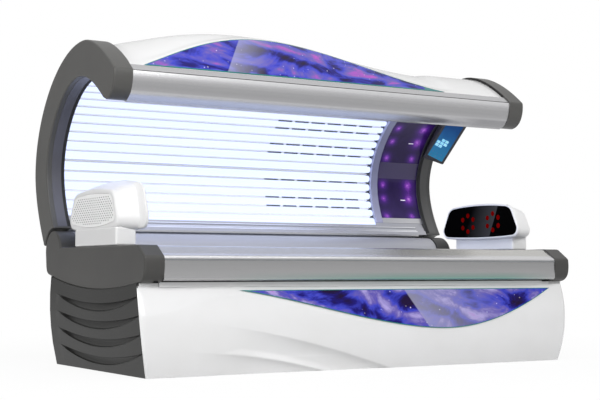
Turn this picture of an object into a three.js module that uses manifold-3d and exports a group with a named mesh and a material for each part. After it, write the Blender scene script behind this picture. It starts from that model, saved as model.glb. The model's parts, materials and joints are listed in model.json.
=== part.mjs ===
// Clamshell tanning bed: a lamp bench on a skirted base, under a lamp canopy on a rear hinge.
// Millimetres. +X runs along the bed, +Y to the rear and +Z up. Sections are drawn in y and z,
// with y measured from the hinge line, and z from the floor on the bench and from the hinge on the canopy.
import * as THREE from 'three';
import { mergeVertices } from 'three/addons/utils/BufferGeometryUtils.js';
import { ConvexGeometry } from 'three/addons/geometries/ConvexGeometry.js';
import Module from 'manifold-3d';

const wasm = await Module();
wasm.setup();

// Overall sizes
const BED_LENGTH = 2170;
const BENCH_TOP = 517;
const BENCH_REACH = 985;
const CAP_WIDTH = 85;
const FIT = 0.3;

// Hinge and knuckle
const HINGE_DROP = 16;
const KNUCKLE_RADIUS = 92;
const KNUCKLE_GAP = 13;
const PIN_RADIUS = 10;
const BOSS_RADIUS = 20;

// Canopy section, from the hinge line
const ARCH_REAR = 240;
const ARCH_REAR_HEIGHT = 364;
const ARCH_TAIL = [112, 25];
const TAIL_HANDLE = [61, 94];
const REAR_HANDLES = [114, 268];
const CROWN_HEIGHT = 902;
const CROWN_FORWARD = 329;
const CROWN_HANDLES = [297, 115];
const NOSE = [-672, 739];
const NOSE_HANDLES = [[89, 75], [-8, -45]];
const CHIN = [-590, 617];
const CHIN_HANDLE = [-70, 3];
const LINER_TIP = [-559, 628];
const TIP_HANDLE = [77, 60];
const LINER_CROWN_HEIGHT = 750;
const LINER_CROWN_FORWARD = 286;
const LINER_CROWN_HANDLES = [172, 96];
const LINER_REAR = 90;
const LINER_REAR_HEIGHT = 368;
const LINER_REAR_HANDLES = [89, 188];
const LINER_FOOT = [-3, 105];
const LINER_FOOT_HANDLE = [49, 73];

// Canopy skins and walls
const WALL = 4;
const SKIN_DEPTH = 12;
const FRAME_GAP = 0.6;
const ARCH_FLANGE = 28;
const END_FRAME_THICK = 6;
const COVER_START = 48;
const COVER_TAIL = 15;
const COVER_ROWS = 22;
const COVER_COLUMNS = 18;
const LINER_END = 46;
const LINER_ROWS = 20;
const RAIL_STEPS = 3;
const RAIL_STEP_RUN = 26;
const RAIL_STEP_SET = 6;
const REAR_RAIL_DEPTH = 40;
const RAIL_DEPTH = 5;

// The brow on the cover: its places along the bed are shares of the half length
const BROW_RISE = 108;
const BROW_LEFT = -0.96;
const BROW_PEAK = -0.35;
const BROW_RIGHT = 0.7;
const BROW_FRONT = 320;
const BROW_BACK = 790;

// Lamps
const LAMP_RADIUS = 19;
const LAMP_SIDES = 8;
const LAMP_WALL = 1.6;
const LAMP_PITCH = 47;
const LAMP_GAP = 3;
const SINGLE_LAMPS = 5;
const WIDE_GAP = 3;
const WIDE_GAP_AFTER = 6;
const COMB_THICK = 8;
const COMB_BITE = 3;
const COMB_STAND = 1.2;
const REFLECTOR_THICK = 2;
const HEAD_LENGTH = 293;
const BAND_WIDTH = 40;
const HEAD_PANEL_ROW = 1;
const FACIAL_ROWS = { lower: [1, 5], upper: [7, 11] };
const FACIAL_MARGIN = 10;

// Prints: places along the bed are shares of the half length
const PRINT_THICK = 3;
const CANOPY_PRINT = { left: -0.926, peak: -0.24, right: 0.64 };
const CANOPY_LEAF = { tips: [0.3, 0.3], rises: [0.45, 0.22], shoulders: [0.6, 0.6] };
const CANOPY_PRINT_HEIGHT = 190;
const CANOPY_PRINT_LIFT = 8;
const SKIRT_PRINT = { left: -0.65, low: 0.39, right: 0.996 };
const SKIRT_LEAF = { tips: [0.31, 0.28], rises: [0.26, 0.48], shoulders: [0.68, 0.62] };
const SKIRT_PRINT_DROP = 172;
const SKIRT_PRINT_MARGIN = 18;

// Bench section
const BENCH_NOSE = 72;
const CAP_CHAMFER = 46;
const CAP_FACE = 64;
const CAP_CHIN = [76, 42];
const CAP_BELLY = 235;
const CAP_TAIL = [25, 98];
const CAP_TAIL_HANDLE = [88, 75];
const RAIL_INSET = 3;
const RAIL_TOP_WIDTH = 67;
const RAIL_HEIGHT = 146;
const GROOVE_DROP = 58;
const GROOVE = 3;
const RAIL_SETBACK = 6;
const RAIL_NOSE_PULL = [26, 24];
const RAIL_FOOT_ROUND = [18, 12];
const DISH_SAG = 57;
const DISH_DROP = 9;
const DISH_REAR = 100;
const BENCH_LAMP_ROOM = 98;
const BENCH_LAMP_PITCH = 46;
const LIP_WIDTH = 22;
const LIP_THICK = 6;
const BARREL_STEP = 3;
const FLANGE_DROP = 80;

// Base panels: how far the plan stands out of or behind the caps at three heights
const SKIRT_BOTTOM = 4;
const SILL_THICK = 12;
const SILL_WIDTH = 34;
const SKIRT_CORNER = 30;
const BELLY_HEIGHT = 213;
const END_SETBACK = { foot: 27, belly: -6, top: -6 };
const FRONT_SETBACK = { foot: 38, belly: 22, top: 51 };
const REAR_PANEL_Y = 6;
const SWEEP_DEPTH = 20;
const SWEEP_START = 274;
const SWEEP_FADE = 620;
const SWEEP_HEIGHT = 210;
const SWEEP_FALL = 0.128;
const SWEEP_BEND = 0.000105;
const SWEEP_COVE = 35;
const GILLS = 4;
const GILL_PITCH = 73;
const GILL_TOP = 317;
const GILL_UPPER_SAG = 34;
const GILL_LOWER_SAG = 66;
const GILL_DEPTH = 16;
const GILL_REAR = 84;
const GILL_FRONT = 60;
const PANEL_SEAM = 1.9;

// Base frame and what it carries
const FOOT_HEIGHT = 20;
const FOOT_RADIUS = 30;
const FOOT_INSET = 32;
const BEAM = 40;
const BEAM_WALL = 3;
const BULKHEAD_INSET = 70;
const BULKHEAD_THICK = 6;
const TOWER_RADIUS = 40;
const CROSS_BEAM_X = 420;
const TRAY_HEIGHT = 70;
const TRAY_DEEP = 300;
const BALLASTS = 6;
const BALLAST_SIZE = [110, 200, 46];
const FAN_SIZE = 280;
const FAN_DEPTH = 60;
const FAN_LIFT = 155;
const FAN_BORE = 118;
const FAN_BLADES = 5;
const FAN_CLEARANCE = 7;
const FAN_HUB = 36;
const FAN_SPOKE = 20;
const BLADE_PITCH = 0.9;
const FAN_SIDES = 24;
const MOTOR_LENGTH = 26;
const GLAND_INSET = 200;
const GLAND_HEIGHT = 90;
const GLAND_RADIUS = 14;

// Gas struts
const LEVER = 62;
const STRUT_FOOT_Y = -56;
const STRUT_DROP = 355;
const STRUT_INSET = 25;
const STRUT_WIDTH = 16;
const STRUT_TUBE = 11;
const STRUT_ROD = 5;
const STRUT_EYE = 14;
const STRUT_PIN = 4;
const STRUT_EYE_BORE = 9.5;
const STRUT_FOOT_PIN = 6;
const STRUT_SHARES = { tube: 0.6, rod: 0.28, bore: 0.14 };

// Pods
const POD_REACH = 473;
const POD_HEIGHTS = { left: [78, 277], right: [66, 234] };
const POD_OVERHANG = 38;
const POD_RIM = 23;
const POD_INSET = 5;
const POD_RIM_HALF = 287;
const POD_OUTER_HALF = 260;
const POD_TAPER = 0.83;
const POD_CROWN = 0.16;
const POD_BASE = 0.86;
const POD_ROUNDS = { foot: 1.6, shoulder: 1.8, pull: 0.5, brow: 2, dip: 0.4, bow: 0.3 };
const WINDOW_BORDER = 12;
const GRILLE_BORDER = 26;
const PEDESTAL_HALF = 222;
const PEDESTAL_INSETS = [10, 5];
const WINDOW_THICK = 4;
const LIGHT_RADIUS = 13;
const LIGHTS = 6;
const LIGHT_RING = [52, 36];
const LIGHT_RING_OFFSET = 94;

// Display
const DISPLAY_LENGTH = 230;
const DISPLAY_WIDTH = 108;
const DISPLAY_STAND_OFF = [17, 23];
const DISPLAY_ROOT_ROWS = [7, 11];
const DISPLAY_FACE = [465, 715];
const DISPLAY_LEAN = [0.787, -0.477, -0.389];
const SCREEN_MARGIN = 9;
const SCREEN_THICK = 3;

// Values worked out from the sizes above
const HINGE_HEIGHT = BENCH_TOP - HINGE_DROP;
const ARCH_OUT = BED_LENGTH / 2;
const ARCH_IN = ARCH_OUT - CAP_WIDTH;
const FRAME_OUT = ARCH_IN - FIT;
const FRAME_IN = FRAME_OUT - END_FRAME_THICK;
const SKIN_END = ARCH_IN - FIT;
const BETWEEN_FRAMES = FRAME_IN - FIT;
const ARCH_FOOT_RADIUS = KNUCKLE_RADIUS + KNUCKLE_GAP;
const LAMP_DEPTH = SKIN_DEPTH + WALL + LAMP_GAP + LAMP_RADIUS;
const REFLECTOR_DEPTH = LAMP_DEPTH + LAMP_RADIUS + LAMP_GAP;
const HEAD_START = ARCH_IN - HEAD_LENGTH;
const BULKHEAD_X = ARCH_IN - BULKHEAD_INSET;
const STRUT_X = ARCH_IN - STRUT_INSET;
const STRUT_FOOT_HEIGHT = HINGE_HEIGHT - STRUT_DROP;
const POD_Y = -POD_REACH;
const POD_INNER_X = ARCH_IN - POD_OVERHANG;
const POD_RIM_X = POD_INNER_X + POD_RIM;
const POD_OUTER_X = ARCH_OUT - POD_INSET;
const FAN_Y = -POD_REACH;
const FAN_HEIGHT = FOOT_HEIGHT + BEAM + FAN_LIFT;
const SKIRT_TOP = BENCH_TOP - RAIL_INSET - RAIL_HEIGHT - SILL_THICK - 2 * FIT;
const SIDES = { left: -1, right: 1 };

const GREY_PLASTIC = { color: 0x4b4a47, roughness: 0.55, metalness: 0 };
const WHITE_GLOSS = { color: 0xf0f0f0, roughness: 0.2, metalness: 0 };
const ALUMINIUM = { color: 0xb4b6be, roughness: 0.35, metalness: 0.9 };
const STEEL = { color: 0x8a8d90, roughness: 0.5, metalness: 0.8 };
const MIRROR = { color: 0xdde0ea, roughness: 0.15, metalness: 1 };
const LAMP = { color: 0xf0fdff, roughness: 0.3, metalness: 0 };
const CLEAR = { color: 0xe8f4ff, roughness: 0.05, metalness: 0, transparent: true, opacity: 0.25 };
const VIOLET = { color: 0x3c2d64, roughness: 0.15, metalness: 0 };
const PRINT = { color: 0x4a3fa0, roughness: 0.1, metalness: 0 };
const BLACK = { color: 0x101012, roughness: 0.2, metalness: 0 };
const RUBBER = { color: 0x222222, roughness: 0.9, metalness: 0 };
const SCREEN = { color: 0x3282be, roughness: 0.15, metalness: 0 };
const BOARD = { color: 0x1d3a25, roughness: 0.6, metalness: 0 };

// Geometry helpers
const AXIS_X = new THREE.Vector3(1, 0, 0);
const AXIS_Y = new THREE.Vector3(0, 1, 0);
const AXIS_Z = new THREE.Vector3(0, 0, 1);
const CURVE_STEPS = 8;
const ROUND_STEPS = 16;

const vec2 = (pair) => new THREE.Vector2(pair[0], pair[1]);
const span = (side, a, b) => (side > 0 ? [a, b] : [-b, -a]);
const steps = (from, to, count) => Array.from({ length: count + 1 }, (_, i) => from + ((to - from) * i) / count);
const smooth = (t) => {
  const c = Math.min(1, Math.max(0, t));
  return c * c * (3 - 2 * c);
};

// A closed mesh with its faces turned outwards
function facingOut(points, faces) {
  let volume = 0;
  for (let i = 0; i < faces.length; i += 3) {
    const [a, b, c] = [points[faces[i]], points[faces[i + 1]], points[faces[i + 2]]];
    volume += a.dot(new THREE.Vector3().crossVectors(b, c));
  }
  const ordered = [];
  for (let i = 0; i < faces.length; i += 3) {
    const [a, b, c] = [faces[i], faces[i + 1], faces[i + 2]];
    ordered.push(a, volume < 0 ? c : b, volume < 0 ? b : c);
  }
  const geometry = new THREE.BufferGeometry().setFromPoints(points);
  geometry.setIndex(ordered);
  geometry.computeVertexNormals();
  return geometry;
}

// A sheet between two surfaces that are given as functions of column and row
function sheet(outer, inner, columns, rows) {
  const points = [];
  for (const face of [outer, inner]) {
    for (let i = 0; i <= columns; i++) {
      for (let j = 0; j <= rows; j++) points.push(face(i, j));
    }
  }
  const at = (face, i, j) => (face * (columns + 1) + i) * (rows + 1) + j;
  const faces = [];
  const quad = (a, b, c, d) => faces.push(a, b, c, a, c, d);
  for (let i = 0; i < columns; i++) {
    for (let j = 0; j < rows; j++) {
      quad(at(0, i, j), at(0, i + 1, j), at(0, i + 1, j + 1), at(0, i, j + 1));
      quad(at(1, i, j), at(1, i, j + 1), at(1, i + 1, j + 1), at(1, i + 1, j));
    }
    quad(at(0, i, 0), at(1, i, 0), at(1, i + 1, 0), at(0, i + 1, 0));
    quad(at(0, i, rows), at(0, i + 1, rows), at(1, i + 1, rows), at(1, i, rows));
  }
  for (let j = 0; j < rows; j++) {
    quad(at(0, 0, j), at(0, 0, j + 1), at(1, 0, j + 1), at(1, 0, j));
    quad(at(0, columns, j), at(1, columns, j), at(1, columns, j + 1), at(0, columns, j + 1));
  }
  return facingOut(points, faces);
}

// A solid through rings of equal count, one ring at each place along X
function loft(rings, places) {
  const count = rings[0].length;
  const points = rings.flatMap((ring, k) => ring.map((p) => new THREE.Vector3(places[k], p.x, p.y)));
  const faces = [];
  for (let k = 0; k + 1 < rings.length; k++) {
    for (let i = 0; i < count; i++) {
      const next = (i + 1) % count;
      const [a, b, c, d] = [k * count + i, k * count + next, (k + 1) * count + next, (k + 1) * count + i];
      faces.push(a, b, c, a, c, d);
    }
  }
  const last = (rings.length - 1) * count;
  for (const [a, b, c] of THREE.ShapeUtils.triangulateShape(rings[0], [])) faces.push(c, b, a);
  for (const [a, b, c] of THREE.ShapeUtils.triangulateShape(rings.at(-1), [])) {
    faces.push(last + a, last + b, last + c);
  }
  return facingOut(points, faces);
}

// A section in y and z, drawn out along X
function alongX(shape, x0, x1) {
  const settings = { depth: x1 - x0, bevelEnabled: false, curveSegments: CURVE_STEPS };
  const geometry = new THREE.ExtrudeGeometry(shape, settings);
  geometry.applyMatrix4(new THREE.Matrix4().makeBasis(AXIS_Y, AXIS_Z, AXIS_X));
  return geometry.translate(x0, 0, 0);
}

// An outline in x and z, drawn out along Y
function alongY(shape, y0, y1) {
  const settings = { depth: y1 - y0, bevelEnabled: false, curveSegments: CURVE_STEPS * 2 };
  const geometry = new THREE.ExtrudeGeometry(shape, settings);
  geometry.applyMatrix4(new THREE.Matrix4().makeBasis(AXIS_X, AXIS_Z, AXIS_Y.clone().negate()));
  return geometry.translate(0, y1, 0);
}

function box(x0, x1, y0, y1, z0, z1) {
  const geometry = new THREE.BoxGeometry(x1 - x0, y1 - y0, z1 - z0);
  return geometry.translate((x0 + x1) / 2, (y0 + y1) / 2, (z0 + z1) / 2);
}

function rodX(radius, x0, x1, y, z, sides = ROUND_STEPS) {
  const geometry = new THREE.CylinderGeometry(radius, radius, x1 - x0, sides);
  return geometry.rotateZ(-Math.PI / 2).translate((x0 + x1) / 2, y, z);
}

// A round tube with open ends along X
function tubeX(radius, wall, x0, x1, y, z, sides) {
  return alongX(outline(circle(radius, y, z, sides), [circle(radius - wall, y, z, sides).reverse()]), x0, x1);
}

function rodZ(radius, z0, z1, sides = ROUND_STEPS) {
  const geometry = new THREE.CylinderGeometry(radius, radius, z1 - z0, sides);
  return geometry.rotateX(Math.PI / 2).translate(0, 0, (z0 + z1) / 2);
}

function toSolid(geometry) {
  const bare = geometry.clone();
  bare.deleteAttribute('normal');
  bare.deleteAttribute('uv');
  const merged = mergeVertices(bare, 1e-3);
  const vertProperties = new Float32Array(merged.attributes.position.array);
  const triVerts = new Uint32Array(merged.index.array);
  return new wasm.Manifold(new wasm.Mesh({ numProp: 3, vertProperties, triVerts }));
}

function toGeometry(solid) {
  const mesh = solid.getMesh();
  const geometry = new THREE.BufferGeometry();
  geometry.setAttribute('position', new THREE.BufferAttribute(new Float32Array(mesh.vertProperties), 3));
  geometry.setIndex(new THREE.BufferAttribute(new Uint32Array(mesh.triVerts), 1));
  geometry.computeVertexNormals();
  return geometry;
}

const join = (...parts) => toGeometry(parts.map(toSolid).reduce((a, b) => a.add(b)));
const cut = (body, ...tools) => toGeometry(tools.map(toSolid).reduce((a, b) => a.subtract(b), toSolid(body)));
const common = (a, b) => toGeometry(toSolid(a).intersect(toSolid(b)));

// Distance from a point to the nearest edge of a closed ring
function edgeDistance(ring, point) {
  return Math.min(...ring.map((from, i) => {
    const edge = ring[(i + 1) % ring.length].clone().sub(from);
    const t = point.clone().sub(from).dot(edge) / edge.lengthSq();
    return from.clone().addScaledVector(edge, Math.min(1, Math.max(0, t))).distanceTo(point);
  }));
}

// The same outline, drawn in by a distance on every side, without the points that come too near an edge
function inset(points, distance) {
  const ring = THREE.ShapeUtils.area(points) < 0 ? points.slice().reverse() : points;
  const drawnIn = ring.map((point, i) => {
    const d0 = point.clone().sub(ring.at(i - 1)).normalize();
    const d1 = ring[(i + 1) % ring.length].clone().sub(point).normalize();
    const n0 = new THREE.Vector2(-d0.y, d0.x);
    const middle = new THREE.Vector2(-d0.y - d1.y, d0.x + d1.x).normalize();
    return point.clone().addScaledVector(middle, distance / Math.max(0.2, middle.dot(n0)));
  });
  return drawnIn.filter((point) => edgeDistance(ring, point) > distance - 0.05);
}

const outline = (points, holes = []) => {
  const shape = new THREE.Shape(points);
  shape.holes = holes.map((hole) => new THREE.Path(hole));
  return shape;
};

const circle = (radius, y = 0, z = 0, count = ROUND_STEPS) =>
  steps(0, count - 1, count - 1).map((i) => {
    const angle = (i * 2 * Math.PI) / count;
    return new THREE.Vector2(y + radius * Math.cos(angle), z + radius * Math.sin(angle));
  });

const arc = (radius, from, to, count, y = 0, z = 0) =>
  steps(from, to, count).map(
    (angle) => new THREE.Vector2(y + radius * Math.cos(angle), z + radius * Math.sin(angle)),
  );

const bed = new THREE.Group();
bed.position.y = (BENCH_REACH - ARCH_REAR) / 2;
const canopy = new THREE.Group();
canopy.position.z = HINGE_HEIGHT;
bed.add(canopy);

function piece(name, geometry, look, group = bed) {
  const mesh = new THREE.Mesh(geometry, new THREE.MeshStandardMaterial(look));
  mesh.name = name;
  group.add(mesh);
  return mesh;
}

// Canopy section curves
const bezier = (...pairs) => new THREE.CubicBezierCurve(...pairs.map(vec2));
const offset = (from, by) => [from[0] + by[0], from[1] + by[1]];
const archRear = [ARCH_REAR, ARCH_REAR_HEIGHT];
const archCrown = [-CROWN_FORWARD, CROWN_HEIGHT];
const linerRear = [LINER_REAR, LINER_REAR_HEIGHT];
const linerCrown = [-LINER_CROWN_FORWARD, LINER_CROWN_HEIGHT];

const outerPath = new THREE.CurvePath();
outerPath.add(bezier(ARCH_TAIL, offset(ARCH_TAIL, TAIL_HANDLE), offset(archRear, [0, -REAR_HANDLES[0]]), archRear));
outerPath.add(bezier(archRear, offset(archRear, [0, REAR_HANDLES[1]]), offset(archCrown, [CROWN_HANDLES[0], 0]),
  archCrown));
outerPath.add(bezier(archCrown, offset(archCrown, [-CROWN_HANDLES[1], 0]), offset(NOSE, NOSE_HANDLES[0]), NOSE));

const nosePath = bezier(NOSE, offset(NOSE, NOSE_HANDLES[1]), offset(CHIN, CHIN_HANDLE), CHIN);

const innerPath = new THREE.CurvePath();
innerPath.add(bezier(LINER_FOOT, offset(LINER_FOOT, LINER_FOOT_HANDLE),
  offset(linerRear, [0, -LINER_REAR_HANDLES[0]]), linerRear));
innerPath.add(bezier(linerRear, offset(linerRear, [0, LINER_REAR_HANDLES[1]]),
  offset(linerCrown, [LINER_CROWN_HANDLES[0], 0]), linerCrown));
innerPath.add(bezier(linerCrown, offset(linerCrown, [-LINER_CROWN_HANDLES[1], 0]), offset(LINER_TIP, TIP_HANDLE),
  LINER_TIP));

const outerLength = outerPath.getLength();
const innerLength = innerPath.getLength();

// A point at a distance along a path and a depth into the canopy's body
function inBody(path, length, turn, distance, depth) {
  const t = Math.min(1, Math.max(0, distance / length));
  const point = path.getPoint(t);
  const tangent = path.getTangent(t);
  return point.add(new THREE.Vector2(-tangent.y, tangent.x).multiplyScalar(turn * depth));
}
const coverPoint = (distance, depth) => inBody(outerPath, outerLength, 1, distance, depth);
const linerPoint = (distance, depth) => inBody(innerPath, innerLength, -1, distance, depth);

const coverStations = steps(COVER_TAIL, outerLength - COVER_START, COVER_ROWS);
const linerStart = RAIL_STEPS * RAIL_STEP_RUN + 2 * FIT;
const linerStations = steps(linerStart, innerLength - LINER_END, LINER_ROWS);

// The arch outline shares its stations with the skins, so that their facets lie parallel
const footAngle = Math.atan2(LINER_FOOT[1], LINER_FOOT[0]);
const tailAngle = Math.atan2(ARCH_TAIL[1], ARCH_TAIL[0]);
const archOutline = [
  vec2(ARCH_TAIL),
  ...coverStations.map((d) => coverPoint(d, 0)),
  ...nosePath.getPoints(CURVE_STEPS),
  vec2(LINER_TIP),
  ...linerStations.map((d) => linerPoint(d, 0)).reverse(),
  ...arc(ARCH_FOOT_RADIUS, footAngle, tailAngle, CURVE_STEPS),
];

function arch(side) {
  const body = alongX(outline(archOutline), ...span(side, ARCH_IN, ARCH_OUT));
  const hollow = alongX(outline(inset(archOutline, WALL)), ...span(side, ARCH_IN + WALL, ARCH_OUT - WALL));
  const mouth = alongX(outline(inset(archOutline, ARCH_FLANGE)), ...span(side, ARCH_IN - 1, ARCH_IN + WALL + 1));
  return cut(body, hollow, mouth);
}

// Steel plate that carries one end of the canopy, with its hinge disc, neck and strut pin
const FRAME_DISC = KNUCKLE_RADIUS - WALL - BARREL_STEP;
const NECK_ANGLES = [0.6, 1.15];
function endFrame(side) {
  const [x0, x1] = span(side, FRAME_IN, FRAME_OUT);
  const plate = alongX(outline(inset(archOutline, SKIN_DEPTH + WALL + FRAME_GAP)), x0, x1);
  const disc = rodX(FRAME_DISC, x0, x1, 0, 0, ROUND_STEPS * 2);
  const neckReach = ARCH_FOOT_RADIUS + SKIN_DEPTH + WALL + BEAM / 2;
  const neckRoot = FRAME_DISC - WALL;
  const neck = alongX(outline([
    ...NECK_ANGLES.map((a) => new THREE.Vector2(neckRoot * Math.cos(a), neckRoot * Math.sin(a))),
    ...NECK_ANGLES.map((a) => new THREE.Vector2(neckReach * Math.cos(a), neckReach * Math.sin(a))).reverse(),
  ].reverse()), x0, x1);
  const pin = rodX(STRUT_PIN, ...span(side, STRUT_X - STRUT_WIDTH / 2, FRAME_IN + 1), -LEVER, 0);
  const bore = rodX(PIN_RADIUS + FIT, x0 - 1, x1 + 1, 0, 0, ROUND_STEPS * 2);
  return cut(join(plate, disc, neck, pin), bore);
}

// Front rail: a closed section between the end frames, with its front skin drawn out to the arches
function frontRail() {
  const skinFace = (depth) => [
    coverPoint(outerLength - COVER_START + FIT, depth),
    ...noseSkin(depth),
  ];
  const front = skinFace(RAIL_DEPTH);
  const back = skinFace(RAIL_DEPTH + WALL).reverse();
  const skin = alongX(outline([...front, ...back]), -SKIN_END, SKIN_END);
  const tube = alongX(outline(front, [inset(front, WALL)]), -BETWEEN_FRAMES, BETWEEN_FRAMES);
  return join(skin, tube);
}

// The nose curve drawn in by a depth, from the upper corner round the chin to the tip
function noseSkin(depth) {
  const ring = [
    coverPoint(outerLength - COVER_START, 0),
    ...nosePath.getPoints(CURVE_STEPS),
    vec2(LINER_TIP),
    linerPoint(innerLength - LINER_END, 0),
  ];
  const drawnIn = ring.map((point, i) => {
    if (i === 0 || i === ring.length - 1) return null;
    const d0 = point.clone().sub(ring[i - 1]).normalize();
    const d1 = ring[i + 1].clone().sub(point).normalize();
    const middle = new THREE.Vector2(-d0.y - d1.y, d0.x + d1.x).normalize();
    const reach = 1 / Math.max(0.35, middle.dot(new THREE.Vector2(-d0.y, d0.x)));
    return point.clone().addScaledVector(middle, depth * reach);
  });
  return drawnIn.filter(Boolean);
}

// Rear rail of the canopy: steps up the foot of the liner
function rearRail() {
  const stairs = [];
  for (let k = 0; k < RAIL_STEPS; k++) {
    stairs.push(linerPoint(2 + k * RAIL_STEP_RUN, 1 + k * RAIL_STEP_SET));
    stairs.push(linerPoint((k + 1) * RAIL_STEP_RUN, 1 + k * RAIL_STEP_SET));
  }
  const top = RAIL_STEPS * RAIL_STEP_RUN;
  stairs.push(linerPoint(top, REAR_RAIL_DEPTH), linerPoint(REAR_RAIL_DEPTH / 2, REAR_RAIL_DEPTH));
  return alongX(outline(stairs.reverse(), [inset(stairs, WALL)]), -BETWEEN_FRAMES, BETWEEN_FRAMES);
}

// The brow stands up on the cover: high left of the middle, fading to both arches and to the rear
function browAlong(x) {
  const share = x / ARCH_IN;
  if (share > BROW_PEAK) return smooth((BROW_RIGHT - share) / (BROW_RIGHT - BROW_PEAK));
  const run = (BROW_PEAK - share) / (BROW_PEAK - BROW_LEFT);
  return Math.max(0, 1 - run * run);
}
function browAcross(reach) {
  if (reach < BROW_FRONT) return Math.sin((Math.PI / 2) * (reach / BROW_FRONT));
  return 1 - smooth((reach - BROW_FRONT) / (BROW_BACK - BROW_FRONT));
}
function coverSurface(depth) {
  return (i, j) => {
    const x = -SKIN_END + (2 * SKIN_END * i) / COVER_COLUMNS;
    const distance = coverStations[j];
    const point = coverPoint(distance, depth);
    const rise = BROW_RISE * browAlong(x) * browAcross(outerLength - COVER_START - distance);
    return new THREE.Vector3(x, point.x, point.y + rise);
  };
}
const cover = sheet(coverSurface(SKIN_DEPTH), coverSurface(SKIN_DEPTH + WALL), COVER_COLUMNS, COVER_ROWS);

// Leaf outline of a print: straight along one edge, two swelling curves along the other
function leaf(places, { tips, rises, shoulders }, edge, swell) {
  const [left, middle, right] = places.map((share) => share * ARCH_IN);
  const shape = new THREE.Shape();
  shape.moveTo(left, edge);
  shape.bezierCurveTo(left + (middle - left) * tips[0], edge + swell * rises[0],
    left + (middle - left) * shoulders[0], edge + swell, middle, edge + swell);
  shape.bezierCurveTo(right + (middle - right) * shoulders[1], edge + swell,
    right + (middle - right) * tips[1], edge + swell * rises[1], right, edge);
  return shape;
}
function canopyPrint() {
  const foot = coverPoint(coverStations.at(-1), SKIN_DEPTH).y + CANOPY_PRINT_LIFT;
  const shape = leaf(Object.values(CANOPY_PRINT), CANOPY_LEAF, foot, CANOPY_PRINT_HEIGHT);
  const lifted = sheet(coverSurface(SKIN_DEPTH - FIT - PRINT_THICK), coverSurface(SKIN_DEPTH - FIT),
    COVER_COLUMNS, COVER_ROWS);
  return common(lifted, alongY(shape, NOSE[0] - SKIN_DEPTH, -CROWN_FORWARD + BEAM));
}

// Liner skins follow the inner curve between two places along X
function liner(x0, x1, depth0, depth1, stations = linerStations) {
  const face = (depth) => (i, j) => {
    const point = linerPoint(stations[j], depth);
    return new THREE.Vector3(i ? x1 : x0, point.x, point.y);
  };
  return sheet(face(depth0), face(depth1), 1, stations.length - 1);
}

const lampLine = new THREE.SplineCurve(linerStations.map((d) => linerPoint(d, LAMP_DEPTH)));
const lampRun = lampLine.getLength() - 2 * LAMP_RADIUS - WIDE_GAP;
const lampCount = Math.floor(lampRun / LAMP_PITCH) + 1;
function lampCentre(index) {
  const along = LAMP_RADIUS + index * LAMP_PITCH + (index < WIDE_GAP_AFTER ? 0 : WIDE_GAP);
  return lampLine.getPointAt(along / lampLine.getLength());
}

const lampLeft = -BETWEEN_FRAMES;
const lampRight = HEAD_START - FIT;
function canopyLamp(index) {
  const centre = lampCentre(index);
  return tubeX(LAMP_RADIUS, LAMP_WALL, lampLeft, lampRight, centre.x, centre.y, LAMP_SIDES);
}

// The socket comb is a strip along the back of a row of lamps, between two distances from their centres
const combNear = LAMP_RADIUS - COMB_BITE;
const combFar = LAMP_RADIUS + COMB_STAND;
function comb(centres, x0) {
  const edge = (offset) => centres.map((centre, k) => {
    const along = centres[Math.min(k + 1, centres.length - 1)].clone().sub(centres[Math.max(k - 1, 0)]).normalize();
    return centre.clone().add(new THREE.Vector2(along.y, -along.x).multiplyScalar(offset));
  });
  return alongX(outline([...edge(combFar), ...edge(combNear).reverse()]), x0, x0 + COMB_THICK);
}

// Lamps over the user share one comb, which joins them
function roofLamps() {
  const order = steps(SINGLE_LAMPS, lampCount - 1, lampCount - 1 - SINGLE_LAMPS);
  return join(comb(order.map(lampCentre), lampLeft), ...order.map(canopyLamp));
}

// Facial unit behind the head panel: a tray with its mouth to the user
function facialUnit([from, to], x0, x1) {
  const back = REFLECTOR_DEPTH - FIT;
  const front = SKIN_DEPTH + WALL + FIT;
  const rows = linerStations.slice(from, to + 1);
  const body = liner(x0, x1, front, back, rows);
  const mouth = liner(x0 + FACIAL_MARGIN, x1 - FACIAL_MARGIN, front - WALL, back - FACIAL_MARGIN,
    steps(rows[0] + FACIAL_MARGIN, rows.at(-1) - FACIAL_MARGIN, CURVE_STEPS));
  return cut(body, mouth);
}

// Display wedge on the right arch: its face stands off the liner and looks inwards, forwards and down
const faceEnds = DISPLAY_FACE.map((distance, k) => linerPoint(distance, -DISPLAY_STAND_OFF[k]));
const faceRun = faceEnds[1].clone().sub(faceEnds[0]).normalize();
const displayLong = new THREE.Vector3(0, faceRun.x, faceRun.y);
const displayNormal = new THREE.Vector3(...DISPLAY_LEAN).cross(displayLong).normalize();
const displayShort = new THREE.Vector3().crossVectors(displayLong, displayNormal);
const displayCorner = new THREE.Vector3(ARCH_IN, faceEnds[0].x, faceEnds[0].y);
function displayPoint(along, across, lift = 0) {
  return displayCorner.clone().addScaledVector(displayLong, along).addScaledVector(displayShort, across)
    .addScaledVector(displayNormal, lift);
}
function displayHousing() {
  const face = [0, DISPLAY_LENGTH].flatMap((a) => [0, DISPLAY_WIDTH].map((b) => displayPoint(a, b)));
  const root = DISPLAY_ROOT_ROWS.flatMap((row) => {
    const point = linerPoint(linerStations[row], -FIT);
    return [ARCH_IN + WALL, ARCH_OUT - WALL].map((x) => new THREE.Vector3(x, point.x, point.y));
  });
  return new ConvexGeometry([...face, ...root]);
}
function displayScreen() {
  const edges = [SCREEN_MARGIN, DISPLAY_LENGTH - SCREEN_MARGIN].flatMap((a) =>
    [SCREEN_MARGIN, DISPLAY_WIDTH - SCREEN_MARGIN].map((b) => [a, b]));
  return new ConvexGeometry([FIT, FIT + SCREEN_THICK].flatMap((lift) =>
    edges.map(([a, b]) => displayPoint(a, b, lift))));
}

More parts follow.
